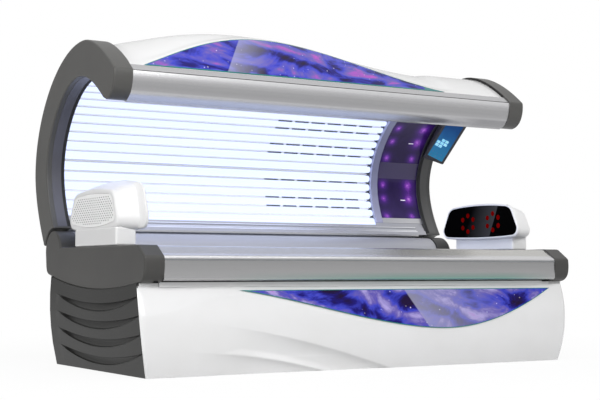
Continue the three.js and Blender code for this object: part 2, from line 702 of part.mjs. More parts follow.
for (const [name, side] of Object.entries(SIDES)) {
  piece(`canopy_${name}_arch`, arch(side), GREY_PLASTIC, canopy);
  piece(`canopy_${name}_end_frame`, endFrame(side), STEEL, canopy);
}
piece('canopy_front_rail', frontRail(), ALUMINIUM, canopy);
piece('canopy_rear_rail', rearRail(), ALUMINIUM, canopy);
piece('canopy_cover', cover, WHITE_GLOSS, canopy);
piece('canopy_print_panel', canopyPrint(), PRINT, canopy);
piece('canopy_reflector', liner(-BETWEEN_FRAMES, BETWEEN_FRAMES, REFLECTOR_DEPTH,
  REFLECTOR_DEPTH + REFLECTOR_THICK), MIRROR, canopy);
piece('canopy_acrylic', liner(-SKIN_END, HEAD_START - FIT, SKIN_DEPTH, SKIN_DEPTH + WALL), CLEAR, canopy);
piece('lamp_end_band', liner(HEAD_START, HEAD_START + BAND_WIDTH, SKIN_DEPTH, REFLECTOR_DEPTH - FIT),
  MIRROR, canopy);
const headX = HEAD_START + BAND_WIDTH + FIT;
const headStations = linerStations.slice(HEAD_PANEL_ROW);
piece('head_panel', liner(headX, SKIN_END, SKIN_DEPTH, SKIN_DEPTH + WALL, headStations), VIOLET, canopy);
for (const [name, reach] of Object.entries(FACIAL_ROWS)) {
  piece(`${name}_facial_unit`, facialUnit(reach, headX + FACIAL_MARGIN, BETWEEN_FRAMES - FACIAL_MARGIN),
    ALUMINIUM, canopy);
}
for (let i = 0; i < SINGLE_LAMPS; i++) piece(`canopy_lamp_${i + 1}`, canopyLamp(i), LAMP, canopy);
piece('roof_lamp_bank', roofLamps(), LAMP, canopy);
piece('display_housing', displayHousing(), GREY_PLASTIC, canopy);
piece('display_screen', displayScreen(), SCREEN, canopy);

// Bench caps
const kneeY = -Math.sqrt(KNUCKLE_RADIUS ** 2 - HINGE_DROP ** 2);
const kneeAngle = Math.PI - Math.asin(HINGE_DROP / KNUCKLE_RADIUS);
function capOutline() {
  const shape = new THREE.Shape();
  const frontTop = BENCH_TOP - CAP_CHAMFER;
  const frontBottom = frontTop - CAP_FACE;
  const chin = [-BENCH_REACH + CAP_CHIN[0], frontBottom - CAP_CHIN[1]];
  const bulge = CAP_FACE / 3;
  shape.moveTo(kneeY, BENCH_TOP);
  shape.lineTo(-BENCH_REACH + BENCH_NOSE, BENCH_TOP);
  shape.lineTo(-BENCH_REACH + WALL, frontTop);
  shape.bezierCurveTo(-BENCH_REACH - 1, frontTop - bulge, -BENCH_REACH - 1, frontBottom + bulge,
    -BENCH_REACH + WALL, frontBottom);
  shape.quadraticCurveTo(-BENCH_REACH + CAP_CHIN[0] / 5, chin[1], chin[0], chin[1]);
  shape.quadraticCurveTo(-BENCH_REACH / 2, BENCH_TOP - CAP_BELLY, CAP_TAIL[0], BENCH_TOP - CAP_TAIL[1]);
  shape.quadraticCurveTo(CAP_TAIL_HANDLE[0], BENCH_TOP - CAP_TAIL_HANDLE[1], KNUCKLE_RADIUS, HINGE_HEIGHT);
  shape.absarc(0, HINGE_HEIGHT, KNUCKLE_RADIUS, 0, kneeAngle, false);
  return shape.extractPoints(CURVE_STEPS).shape;
}
const capRing = capOutline().filter((p, i, all) => p.distanceTo(all.at(i - 1)) > FIT);

function benchCap(side) {
  const body = alongX(outline(capRing), ...span(side, ARCH_IN, ARCH_OUT));
  const hollow = alongX(outline(inset(capRing, WALL)), ...span(side, ARCH_IN - 1, ARCH_OUT - WALL));
  const boss = rodX(BOSS_RADIUS, ...span(side, ARCH_IN, ARCH_OUT - WALL / 2), 0, HINGE_HEIGHT);
  const lip = box(...span(side, ARCH_IN - LIP_WIDTH, ARCH_IN + WALL), -BENCH_REACH + BENCH_NOSE + RAIL_TOP_WIDTH,
    -KNUCKLE_RADIUS - BOSS_RADIUS, BENCH_TOP - LIP_THICK, BENCH_TOP);
  const bore = rodX(PIN_RADIUS + FIT, ...span(side, ARCH_IN - 1, ARCH_OUT - CAP_WIDTH / 2), 0, HINGE_HEIGHT);
  const shellOnly = cut(body, hollow);
  return cut(join(shellOnly, boss, lip), bore);
}

// Front rail of the bench: a hollow extrusion with a rounded nose and a groove
const railTop = BENCH_TOP - RAIL_INSET;
const railBottom = railTop - RAIL_HEIGHT;
const railFront = -BENCH_REACH + RAIL_SETBACK;
const railBack = -BENCH_REACH + BENCH_NOSE + RAIL_TOP_WIDTH;
function benchFrontRail() {
  const shape = new THREE.Shape();
  const groove = BENCH_TOP - GROOVE_DROP;
  shape.moveTo(railBack, railTop);
  shape.lineTo(-BENCH_REACH + BENCH_NOSE + WALL, railTop);
  shape.bezierCurveTo(railFront + RAIL_NOSE_PULL[0], railTop, railFront + GROOVE, railTop - RAIL_NOSE_PULL[1],
    railFront, groove + GROOVE);
  shape.lineTo(railFront + GROOVE, groove + GROOVE / 2);
  shape.lineTo(railFront, groove - GROOVE);
  shape.lineTo(railFront, railBottom + RAIL_FOOT_ROUND[1]);
  shape.quadraticCurveTo(railFront, railBottom, railFront + RAIL_FOOT_ROUND[0], railBottom);
  shape.lineTo(railBack, railBottom);
  const ring = shape.extractPoints(CURVE_STEPS).shape;
  return alongX(outline(ring, [inset(ring, WALL)]), -SKIN_END, SKIN_END);
}

// Rear rail of the bench: a barrel round the hinge line, open below for the struts
const barrelRadius = KNUCKLE_RADIUS - BARREL_STEP;
const BARREL_BACK = -1.5;
function benchRearRail() {
  const rise = railTop - HINGE_HEIGHT;
  const start = Math.PI - Math.asin(rise / barrelRadius);
  const innerRadius = barrelRadius - WALL;
  const innerStart = Math.PI - Math.asin((rise - WALL) / innerRadius);
  const endZ = HINGE_HEIGHT + barrelRadius * Math.sin(BARREL_BACK);
  const ring = [
    new THREE.Vector2(-DISH_REAR, railTop - FLANGE_DROP),
    new THREE.Vector2(-DISH_REAR, railTop),
    ...arc(barrelRadius, start, BARREL_BACK, ROUND_STEPS, 0, HINGE_HEIGHT),
    new THREE.Vector2(REAR_PANEL_Y - WALL, endZ),
    new THREE.Vector2(REAR_PANEL_Y - WALL, endZ + WALL),
    ...arc(innerRadius, BARREL_BACK + 0.03, innerStart, ROUND_STEPS, 0, HINGE_HEIGHT),
    new THREE.Vector2(-DISH_REAR + WALL, railTop - WALL),
    new THREE.Vector2(-DISH_REAR + WALL, railTop - FLANGE_DROP),
  ];
  return alongX(outline(ring.reverse()), -BETWEEN_FRAMES, BETWEEN_FRAMES);
}

// The dish that the user lies in, as a section curve and a depth below it
const dishFront = railBack + FIT;
const dishRear = -DISH_REAR - FIT;
const dishEdge = BENCH_TOP - DISH_DROP;
function dishPoint(t, depth) {
  const y = dishFront + (dishRear - dishFront) * t;
  return new THREE.Vector2(y, dishEdge - 4 * DISH_SAG * t * (1 - t) - depth);
}
const DISH_ROWS = 14;
function dishSheet(halfLength, depth, thick) {
  const face = (d) => (i, j) => {
    const point = dishPoint(j / DISH_ROWS, d);
    return new THREE.Vector3(i ? halfLength : -halfLength, point.x, point.y);
  };
  return sheet(face(depth), face(depth + thick), 1, DISH_ROWS);
}
const benchLampDepth = WALL + LAMP_GAP + LAMP_RADIUS;
const trayDepth = benchLampDepth + LAMP_RADIUS + LAMP_GAP;
const benchHalf = ARCH_IN - LIP_WIDTH - FIT;

// Bench lamps and the two socket combs that join them
function benchLamps() {
  const line = new THREE.SplineCurve(steps(0, 1, DISH_ROWS).map((t) => dishPoint(t, benchLampDepth)));
  const count = Math.floor((line.getLength() - 3 * LAMP_RADIUS) / BENCH_LAMP_PITCH) + 1;
  const slack = (line.getLength() - (count - 1) * BENCH_LAMP_PITCH) / 2;
  const centres = steps(0, count - 1, count - 1).map((i) =>
    line.getPointAt((slack + i * BENCH_LAMP_PITCH) / line.getLength()));
  const half = benchHalf - BENCH_LAMP_ROOM;
  const lamps = centres.map((c) => tubeX(LAMP_RADIUS, LAMP_WALL, -half, half, c.x, c.y, LAMP_SIDES));
  return join(comb(centres, -half), comb(centres, half - COMB_THICK), ...lamps);
}

for (const [name, side] of Object.entries(SIDES)) piece(`bench_${name}_cap`, benchCap(side), GREY_PLASTIC);
piece('bench_front_rail', benchFrontRail(), ALUMINIUM);
piece('bench_rear_rail', benchRearRail(), ALUMINIUM);
piece('bench_acrylic', dishSheet(benchHalf, 0, WALL), CLEAR);
piece('bench_reflector_tray', dishSheet(BETWEEN_FRAMES, trayDepth, REFLECTOR_THICK), MIRROR);
piece('bench_lamp_bank', benchLamps(), LAMP);

// Base panels: the plan grows to a belly and draws in again, by a parabola through three heights
function throughBelly(z, { foot, belly, top }) {
  const [z0, z1, z2] = [SKIRT_BOTTOM, BELLY_HEIGHT, SKIRT_TOP];
  const a = ((z - z1) * (z - z2)) / ((z0 - z1) * (z0 - z2));
  const b = ((z - z0) * (z - z2)) / ((z1 - z0) * (z1 - z2));
  const c = ((z - z0) * (z - z1)) / ((z2 - z0) * (z2 - z1));
  return a * foot + b * belly + c * top;
}
const halfLengthAt = (z) => ARCH_OUT - throughBelly(z, END_SETBACK);
const frontAt = (z) => -BENCH_REACH + throughBelly(z, FRONT_SETBACK);

// Moulded sweeps on the skirt: below each line the face falls back in a cove
function sweepDepth(x, z) {
  const run = x + ARCH_OUT - SWEEP_START;
  const line = SWEEP_HEIGHT - SWEEP_FALL * run - SWEEP_BEND * run * run;
  const below = Math.max(0, line - z);
  return SWEEP_DEPTH * smooth(run / SWEEP_FADE) * (1 - Math.exp(-below / SWEEP_COVE));
}

const SKIRT_ROWS = 12;
const CORNER_STEPS = 3;
const SKIRT_SPANS = 26;
const SKIRT_COLUMNS = SKIRT_SPANS + 2 * CORNER_STEPS;
function skirtSurface(depth) {
  return (i, j) => {
    const z = SKIRT_BOTTOM + ((SKIRT_TOP - SKIRT_BOTTOM) * j) / SKIRT_ROWS;
    const straight = halfLengthAt(z) - SKIRT_CORNER;
    const middle = Math.min(SKIRT_SPANS, Math.max(0, i - CORNER_STEPS));
    const x = -straight + (2 * straight * middle) / SKIRT_SPANS;
    const turn = (i < CORNER_STEPS ? i - CORNER_STEPS : Math.max(0, i - CORNER_STEPS - SKIRT_SPANS)) / CORNER_STEPS;
    const angle = (turn * Math.PI) / 2;
    const radius = SKIRT_CORNER - depth;
    const y = frontAt(z) + SKIRT_CORNER - radius * Math.cos(angle);
    return new THREE.Vector3(x + radius * Math.sin(angle), y + sweepDepth(x, z), z);
  };
}
const skirt = sheet(skirtSurface(0), skirtSurface(WALL), SKIRT_COLUMNS, SKIRT_ROWS);

function skirtPrint() {
  const shape = leaf(Object.values(SKIRT_PRINT), SKIRT_LEAF, SKIRT_TOP - SKIRT_PRINT_MARGIN, -SKIRT_PRINT_DROP);
  const lifted = sheet(skirtSurface(-FIT - PRINT_THICK), skirtSurface(-FIT), SKIRT_COLUMNS, SKIRT_ROWS);
  return common(lifted, alongY(shape, -BENCH_REACH - BEAM, -BENCH_REACH + BEAM * 4));
}

// End panel with crescent gills: each falls in sharply below its upper edge and rises to its lower edge
const END_COLUMNS = 14;
function capUnder(y) {
  for (let i = 0; i + 1 < capRing.length; i++) {
    const [a, b] = [capRing[i], capRing[i + 1]];
    if (a.x <= y && y < b.x && b.y < HINGE_HEIGHT) return a.y + ((b.y - a.y) * (y - a.x)) / (b.x - a.x);
  }
  return SKIRT_TOP;
}
const GILL_SLOPE = 2;
function endPanel(side) {
  const rowsOfGill = 3;
  const rows = GILLS * rowsOfGill + 1;
  const [rearTip, frontTip] = [-GILL_REAR, -BENCH_REACH + GILL_FRONT];
  const centre = (rearTip + frontTip) / 2;
  const half = (rearTip - frontTip) / 2;
  const bow = (y) => Math.max(0, 1 - ((y - centre) / half) ** 2);
  const rowHeight = (j, y) => {
    if (j === 0) return capUnder(y) - PANEL_SEAM;
    if (j === rows) return SKIRT_BOTTOM;
    const gill = Math.floor((j - 1) / rowsOfGill);
    const part = (j - 1) % rowsOfGill;
    const sag = part === 2 ? GILL_LOWER_SAG : GILL_UPPER_SAG;
    return GILL_TOP - gill * GILL_PITCH - sag * bow(y) - part * GILL_SLOPE;
  };
  const inGill = (j) => j > 0 && j < rows && (j - 1) % rowsOfGill === 1;
  const surface = (depth) => (i, j) => {
    const frontEdge = -BENCH_REACH + FRONT_SETBACK.top + SKIRT_CORNER + PANEL_SEAM;
    const guess = frontEdge + ((REAR_PANEL_Y - frontEdge) * i) / END_COLUMNS;
    const z = rowHeight(j, guess);
    const start = j ? frontAt(z) + SKIRT_CORNER + PANEL_SEAM : frontEdge;
    const y = start + ((REAR_PANEL_Y - start) * i) / END_COLUMNS;
    const recess = inGill(j) ? GILL_DEPTH * bow(guess) : 0;
    return new THREE.Vector3(side * (halfLengthAt(z) - depth - recess), y, z);
  };
  return sheet(surface(0), surface(WALL), END_COLUMNS, rows);
}

const sillY = frontAt(SKIRT_TOP);
piece('front_skirt', skirt, WHITE_GLOSS);
piece('skirt_print_panel', skirtPrint(), PRINT);
for (const [name, side] of Object.entries(SIDES)) piece(`base_${name}_end_panel`, endPanel(side), GREY_PLASTIC);
piece('skirt_sill', box(-SKIN_END, SKIN_END, sillY + FIT, sillY + SILL_WIDTH, SKIRT_TOP + FIT,
  SKIRT_TOP + FIT + SILL_THICK), ALUMINIUM);

const rearPanelTop = HINGE_HEIGHT + barrelRadius * Math.sin(BARREL_BACK) - FIT;
const rearHalf = halfLengthAt(SKIRT_BOTTOM) - WALL - FIT;
const rearPanelBack = REAR_PANEL_Y - FIT;
const rearPanel = box(-rearHalf, rearHalf, REAR_PANEL_Y - WALL, rearPanelBack, SKIRT_BOTTOM, rearPanelTop);
const glandX = ARCH_IN - GLAND_INSET;
const glandHole = new THREE.CylinderGeometry(GLAND_RADIUS + FIT, GLAND_RADIUS + FIT, BEAM, ROUND_STEPS)
  .translate(glandX, REAR_PANEL_Y, GLAND_HEIGHT);
piece('base_rear_panel', cut(rearPanel, glandHole), GREY_PLASTIC);
const glandProfile = [
  [0, -BEAM / 2], [GLAND_RADIUS, -BEAM / 2], [GLAND_RADIUS, 0], [GLAND_RADIUS * 1.5, 0],
  [GLAND_RADIUS * 1.5, GLAND_RADIUS / 2], [GLAND_RADIUS, GLAND_RADIUS], [0, GLAND_RADIUS],
].map(vec2);
piece('mains_gland', new THREE.LatheGeometry(glandProfile, ROUND_STEPS)
  .translate(glandX, rearPanelBack + FIT, GLAND_HEIGHT), BLACK);

// Base frame: floor beams, two bulkheads under the bench and a hinge tower on each
const frameFront = frontAt(FOOT_HEIGHT) + WALL + SWEEP_DEPTH + FIT;
const frameRear = REAR_PANEL_Y - WALL - FIT;
const frameHalf = halfLengthAt(FOOT_HEIGHT) - WALL - GILL_DEPTH - FIT;
const frameTop = FOOT_HEIGHT + BEAM;
const plateFoot = frameTop - BEAM_WALL / 2;
const towerFront = DISH_REAR - STRUT_TUBE * 2;
function bulkhead(side) {
  const [x0, x1] = span(side, BULKHEAD_X, BULKHEAD_X + BULKHEAD_THICK);
  const under = trayDepth + REFLECTOR_THICK + FIT;
  const flangeBottom = railTop - FLANGE_DROP - FIT * 2;
  const top = steps(0.02, 0.99, DISH_ROWS).map((t) => dishPoint(t, under + WALL / 2));
  const ring = [
    new THREE.Vector2(frameFront + BEAM / 2, plateFoot),
    new THREE.Vector2(railBack + FIT, plateFoot + BEAM),
    ...top,
    new THREE.Vector2(-DISH_REAR - WALL, flangeBottom),
    new THREE.Vector2(-towerFront, flangeBottom),
    new THREE.Vector2(-TOWER_RADIUS, HINGE_HEIGHT),
    new THREE.Vector2(frameRear - WALL, HINGE_HEIGHT - TOWER_RADIUS / 2),
    new THREE.Vector2(frameRear - WALL, plateFoot),
  ].reverse();
  const plate = alongX(outline(ring, [circle(FAN_BORE, FAN_Y, FAN_HEIGHT, FAN_SIDES).reverse()]), x0, x1);
  const tower = rodX(TOWER_RADIUS, x0, x1, 0, HINGE_HEIGHT);
  const foot = rodX(STRUT_FOOT_PIN, ...span(side, BULKHEAD_X + 1, STRUT_X + STRUT_WIDTH / 2),
    STRUT_FOOT_Y, STRUT_FOOT_HEIGHT);
  return [plate, tower, foot];
}
// Floor beams are channels that open downwards, left solid where they meet and over the feet
function floorBeams() {
  const beams = [];
  const grooves = [];
  const [z0, z1] = [FOOT_HEIGHT - 1, frameTop - BEAM_WALL];
  const grooveHalf = frameHalf - 4 * BEAM;
  for (const y of [frameFront, frameRear - BEAM]) {
    beams.push(box(-frameHalf, frameHalf, y, y + BEAM, FOOT_HEIGHT, frameTop));
    grooves.push(box(-grooveHalf, grooveHalf, y + BEAM_WALL, y + BEAM - BEAM_WALL, z0, z1));
  }
  for (const x of [-frameHalf, -CROSS_BEAM_X, CROSS_BEAM_X - BEAM, frameHalf - BEAM]) {
    beams.push(box(x, x + BEAM, frameFront + BEAM / 2, frameRear - BEAM / 2, FOOT_HEIGHT, frameTop));
    grooves.push(box(x + BEAM_WALL, x + BEAM - BEAM_WALL, frameFront + 2 * BEAM, frameRear - 2 * BEAM, z0, z1));
  }
  return cut(join(...beams), ...grooves);
}
function baseFrame() {
  const solid = join(floorBeams(), ...bulkhead(SIDES.left), ...bulkhead(SIDES.right));
  const bores = Object.values(SIDES).map((side) => rodX(PIN_RADIUS + FIT,
    ...span(side, BULKHEAD_X - 1, BULKHEAD_X + BULKHEAD_THICK + 1), 0, HINGE_HEIGHT));
  return cut(solid, ...bores);
}
piece('base_frame', baseFrame(), STEEL);

for (const [name, side] of Object.entries(SIDES)) {
  const pin = rodX(PIN_RADIUS, ...span(side, BULKHEAD_X, ARCH_OUT - CAP_WIDTH / 2 - 1), 0, HINGE_HEIGHT);
  piece(`${name}_hinge_pin`, pin, STEEL);
  for (const [end, y] of [['front', frameFront + FOOT_INSET], ['rear', frameRear - FOOT_INSET]]) {
    const foot = rodZ(FOOT_RADIUS / 2, 0, FOOT_HEIGHT - FIT).translate(side * (frameHalf - 2 * BEAM), y, 0);
    const pad = rodZ(FOOT_RADIUS, 0, FOOT_HEIGHT / 2).translate(side * (frameHalf - 2 * BEAM), y, 0);
    piece(`${end}_${name}_foot`, join(foot, pad), RUBBER);
  }
}

// Ballast tray on the cross beams, with a row of ballast blocks
function ballastTray() {
  const z0 = frameTop + FIT;
  const tray = box(-CROSS_BEAM_X, CROSS_BEAM_X, FAN_Y - TRAY_DEEP / 2, FAN_Y + TRAY_DEEP / 2, z0, z0 + TRAY_HEIGHT);
  const hollow = box(-CROSS_BEAM_X + WALL, CROSS_BEAM_X - WALL, FAN_Y - TRAY_DEEP / 2 + WALL,
    FAN_Y + TRAY_DEEP / 2 - WALL, z0 + WALL, z0 + TRAY_HEIGHT + 1);
  const pitch = (2 * CROSS_BEAM_X) / BALLASTS;
  const blocks = steps(0, BALLASTS - 1, BALLASTS - 1).map((i) => {
    const x = -CROSS_BEAM_X + pitch * (i + 0.5);
    return box(x - BALLAST_SIZE[0] / 2, x + BALLAST_SIZE[0] / 2, FAN_Y - BALLAST_SIZE[1] / 2,
      FAN_Y + BALLAST_SIZE[1] / 2, z0 + WALL / 2, z0 + WALL + BALLAST_SIZE[2]);
  });
  return join(cut(tray, hollow), ...blocks);
}
piece('ballast_tray', ballastTray(), STEEL);

// Intake fan on the left bulkhead
const fanLeft = -BULKHEAD_X + FIT;
const fanRight = fanLeft + FAN_DEPTH;
function fanHousing() {
  const half = FAN_SIZE / 2;
  const square = [[-half, -half], [half, -half], [half, half], [-half, half]].map(([y, z]) =>
    new THREE.Vector2(FAN_Y + y, FAN_HEIGHT + z));
  const frame = alongX(outline(square, [circle(FAN_BORE, FAN_Y, FAN_HEIGHT, FAN_SIDES).reverse()]), fanLeft, fanRight);
  const spokes = [
    box(fanRight - WALL * 2, fanRight, FAN_Y - half + 1, FAN_Y + half - 1, FAN_HEIGHT - FAN_SPOKE / 2,
      FAN_HEIGHT + FAN_SPOKE / 2),
    box(fanRight - WALL * 2, fanRight, FAN_Y - FAN_SPOKE / 2, FAN_Y + FAN_SPOKE / 2, FAN_HEIGHT - half + 1,
      FAN_HEIGHT + half - 1),
  ];
  const motor = rodX(FAN_HUB, fanRight - MOTOR_LENGTH, fanRight - 1, FAN_Y, FAN_HEIGHT);
  return join(frame, ...spokes, motor);
}
function fanRotor() {
  const hubEnd = fanRight - MOTOR_LENGTH - FIT;
  const hubStart = fanLeft + WALL;
  const hub = rodX(FAN_HUB, hubStart, hubEnd, 0, 0);
  const reach = FAN_BORE - FAN_CLEARANCE;
  const blades = steps(0, FAN_BLADES - 1, FAN_BLADES - 1).map((i) => {
    const blade = new THREE.BoxGeometry(WALL / 2, FAN_HUB, reach - FAN_HUB / 2);
    blade.rotateZ(BLADE_PITCH).translate((hubStart + hubEnd) / 2, 0, (reach + FAN_HUB / 2) / 2);
    return blade.rotateX((i * 2 * Math.PI) / FAN_BLADES);
  });
  return join(hub, ...blades).translate(0, FAN_Y, FAN_HEIGHT);
}
piece('base_fan_housing', fanHousing(), BLACK);
piece('base_fan_rotor', fanRotor(), BLACK);

// Gas struts between the bulkheads and the end frames, drawn upright and then leant
const strutReach = new THREE.Vector2(-LEVER - STRUT_FOOT_Y, HINGE_HEIGHT - STRUT_FOOT_HEIGHT);
const strutLength = strutReach.length();
const tubeLength = strutLength * STRUT_SHARES.tube;
const rodStart = strutLength * STRUT_SHARES.rod;
const boreStart = strutLength * STRUT_SHARES.bore;
function eye(z, radius, bore, width) {
  return cut(rodX(radius, -width / 2, width / 2, 0, z), rodX(bore, -width, width, 0, z));
}
function strutCylinder() {
  const tube = rodZ(STRUT_TUBE, STRUT_EYE - WALL / 2, tubeLength);
  const bore = rodZ(STRUT_ROD + 2 * FIT, boreStart, tubeLength + 1);
  return join(cut(tube, bore), eye(0, STRUT_EYE, STRUT_FOOT_PIN + 2 * FIT, STRUT_WIDTH));
}
function strutRod() {
  const rod = rodZ(STRUT_ROD, rodStart, strutLength - STRUT_EYE_BORE - WALL / 2);
  return join(rod, eye(strutLength, STRUT_EYE, STRUT_EYE_BORE, STRUT_WIDTH - WALL));
}
for (const [name, side] of Object.entries(SIDES)) {
  const strut = new THREE.Group();
  strut.position.set(side * STRUT_X, STRUT_FOOT_Y, STRUT_FOOT_HEIGHT);
  strut.rotation.x = Math.atan2(-strutReach.x, strutReach.y);
  bed.add(strut);
  piece(`${name}_strut_cylinder`, strutCylinder(), BLACK, strut);
  piece(`${name}_strut_rod`, strutRod(), STEEL, strut);
}

// Pods: a rounded, tapering head on a pedestal at each end of the bench
function podRing(half, bottom, top, draw = 0) {
  const [h, z0, z1] = [half - draw, bottom + draw, top - draw];
  const crown = (z1 - z0) * POD_CROWN;
  const foot = h * POD_BASE;
  const upper = h * POD_TAPER;
  const shape = new THREE.Shape();
  shape.moveTo(POD_Y - foot, z0);
  shape.lineTo(POD_Y + foot, z0);
  const { foot: round, shoulder, pull, brow, dip, bow } = POD_ROUNDS;
  shape.quadraticCurveTo(POD_Y + h, z0, POD_Y + h, z0 + crown * round);
  shape.lineTo(POD_Y + upper + crown * pull, z1 - crown * shoulder);
  shape.quadraticCurveTo(POD_Y + upper, z1 - crown * pull, POD_Y + upper - crown * brow, z1 - crown * dip);
  shape.quadraticCurveTo(POD_Y, z1 + crown * bow, POD_Y - upper + crown * brow, z1 - crown * dip);
  shape.quadraticCurveTo(POD_Y - upper, z1 - crown * pull, POD_Y - upper - crown * pull, z1 - crown * shoulder);
  shape.lineTo(POD_Y - h, z0 + crown * round);
  shape.quadraticCurveTo(POD_Y - h, z0, POD_Y - foot, z0);
  return shape.extractPoints(CURVE_STEPS / 2).shape;
}
const lightSeat = POD_INNER_X + WINDOW_THICK + WALL;
for (const [name, side] of Object.entries(SIDES)) {
  const [bottom, top] = POD_HEIGHTS[name].map((height) => BENCH_TOP + height);
  const rim = (draw) => podRing(POD_RIM_HALF, bottom, top, draw);
  const outer = (draw) => podRing(POD_OUTER_HALF, bottom + WALL, top - GRILLE_BORDER, draw);
  const at = (...places) => places.map((x) => side * x);
  const body = loft([rim(WALL), rim(0), outer(0)], at(POD_INNER_X, POD_RIM_X, POD_OUTER_X));
  const mouth = loft([rim(WINDOW_BORDER), rim(WINDOW_BORDER)], at(POD_INNER_X - 1, lightSeat + 1));
  const cavity = loft([rim(2 * WALL), rim(2 * WALL), outer(2 * WALL)],
    at(lightSeat, POD_RIM_X, POD_OUTER_X - 2 * WALL));
  const seat = loft([outer(GRILLE_BORDER), outer(GRILLE_BORDER)], at(POD_OUTER_X - WALL, POD_OUTER_X + 1));
  piece(`${name}_pod_shell`, cut(body, mouth, cavity, seat), WHITE_GLOSS);
  const pane = rim(WINDOW_BORDER + FIT);
  piece(`${name}_pod_window`, loft([pane, pane], at(POD_INNER_X, POD_INNER_X + WINDOW_THICK)), BLACK);
  const mesh = outer(GRILLE_BORDER + FIT);
  piece(`${name}_pod_grille`, loft([mesh, mesh], at(POD_OUTER_X - WALL + FIT, POD_OUTER_X)), WHITE_GLOSS);
  const card = rim(2 * WALL + FIT * 2);
  const board = loft([card, card], at(lightSeat + FIT, lightSeat + WALL));
  const lights = [];
  const lensReach = span(side, POD_INNER_X + WINDOW_THICK + FIT, lightSeat + WALL / 2);
  for (const ring of [-1, 1]) {
    for (let i = 0; i < LIGHTS; i++) {
      const angle = ((i + 0.5) * 2 * Math.PI) / LIGHTS;
      const y = POD_Y + ring * LIGHT_RING_OFFSET + LIGHT_RING[0] * Math.cos(angle);
      const z = (bottom + top) / 2 + LIGHT_RING[1] * Math.sin(angle);
      lights.push(rodX(LIGHT_RADIUS, ...lensReach, y, z, LAMP_SIDES));
    }
  }
  piece(`${name}_pod_light_board`, join(board, ...lights), BOARD);
  const [px0, px1] = span(side, ARCH_IN - PEDESTAL_INSETS[0], ARCH_OUT - PEDESTAL_INSETS[1]);
  const column = box(px0, px1, POD_Y - PEDESTAL_HALF, POD_Y + PEDESTAL_HALF, BENCH_TOP + FIT, bottom - FIT);
  const well = box(px0 + WALL, px1 - WALL, POD_Y - PEDESTAL_HALF + WALL, POD_Y + PEDESTAL_HALF - WALL,
    BENCH_TOP, bottom);
  piece(`${name}_pod_pedestal`, cut(column, well), WHITE_GLOSS);
}

export default bed;
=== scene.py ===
# Looks of the clamshell tanning bed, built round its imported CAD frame.
# Sizes are in millimetres where they repeat the bed's own dimensions, and Blender gets metres.
import json
import math

import bmesh
import bpy
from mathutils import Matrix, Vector
from mathutils.geometry import delaunay_2d_cdt

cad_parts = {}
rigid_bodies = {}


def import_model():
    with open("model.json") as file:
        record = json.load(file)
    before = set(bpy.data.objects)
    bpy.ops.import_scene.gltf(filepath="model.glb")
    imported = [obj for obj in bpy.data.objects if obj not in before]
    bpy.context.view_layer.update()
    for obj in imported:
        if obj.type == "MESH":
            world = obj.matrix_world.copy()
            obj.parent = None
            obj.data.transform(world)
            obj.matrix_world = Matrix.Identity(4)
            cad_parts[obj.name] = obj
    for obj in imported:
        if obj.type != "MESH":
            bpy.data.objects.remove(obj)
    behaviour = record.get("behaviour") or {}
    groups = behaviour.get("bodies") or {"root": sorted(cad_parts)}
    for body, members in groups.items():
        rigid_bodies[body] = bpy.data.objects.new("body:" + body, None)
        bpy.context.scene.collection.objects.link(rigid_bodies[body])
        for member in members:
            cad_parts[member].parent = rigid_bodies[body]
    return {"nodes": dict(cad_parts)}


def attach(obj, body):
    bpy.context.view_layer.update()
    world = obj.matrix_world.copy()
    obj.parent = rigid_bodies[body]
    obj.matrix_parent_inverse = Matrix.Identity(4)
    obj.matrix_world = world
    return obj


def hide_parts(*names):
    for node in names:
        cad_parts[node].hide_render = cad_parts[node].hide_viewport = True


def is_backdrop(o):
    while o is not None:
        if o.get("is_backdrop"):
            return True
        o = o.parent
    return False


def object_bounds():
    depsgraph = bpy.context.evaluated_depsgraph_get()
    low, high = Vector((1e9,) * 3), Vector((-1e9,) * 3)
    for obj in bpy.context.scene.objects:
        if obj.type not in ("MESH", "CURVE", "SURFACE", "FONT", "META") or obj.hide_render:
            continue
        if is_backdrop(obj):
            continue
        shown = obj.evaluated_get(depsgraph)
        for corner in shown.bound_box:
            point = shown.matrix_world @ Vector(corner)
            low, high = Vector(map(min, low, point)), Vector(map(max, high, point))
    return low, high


for old in list(bpy.data.objects):
    bpy.data.objects.remove(old)
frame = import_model()
cad_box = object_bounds()
nodes = frame["nodes"]

# Sizes of the bed, with y from the hinge line
ROOT_Y = 372.5
HINGE_Z = 501.0
BENCH_TOP = 517.0
BENCH_FRONT = -985.0
RAIL_REAR = BENCH_FRONT + 139
ARCH_OUT = 1085.0
ARCH_IN = 1000.0
SKIN_END = 999.7
HEAD_START = 707.0
BAND_WIDTH = 40.0
SKIRT_BOTTOM = 4.0
SKIRT_TOP = 355.4
BELLY_HEIGHT = 213.0
SKIRT_CORNER = 30.0
WALL = 4.0
SKIN_DEPTH = 12.0
LAMP_DEPTH = 38.0
LAMP_RADIUS = 19.0
LAMP_PITCH = 47.0
WIDE_GAP = 3.0
WIDE_GAP_AFTER = 6
POD_Y = -473.0
SIDES = {"left": -1, "right": 1}

# Camera, as solved from the photo
CAMERA_PLACE = (-3.1535, -5.1522, 0.4091)
CAMERA_LENS, CAMERA_RISE, CAMERA_TURN = 77.816, 3.1903, -31.3167


def make_camera():
    data = bpy.data.cameras.new("camera")
    data.sensor_width = 36
    data.lens = CAMERA_LENS
    camera = bpy.data.objects.new("camera", data)
    camera.location = CAMERA_PLACE
    camera.rotation_euler = (math.radians(90 + CAMERA_RISE), 0, math.radians(CAMERA_TURN))
    bpy.context.collection.objects.link(camera)
    bpy.context.scene.camera = camera


make_camera()


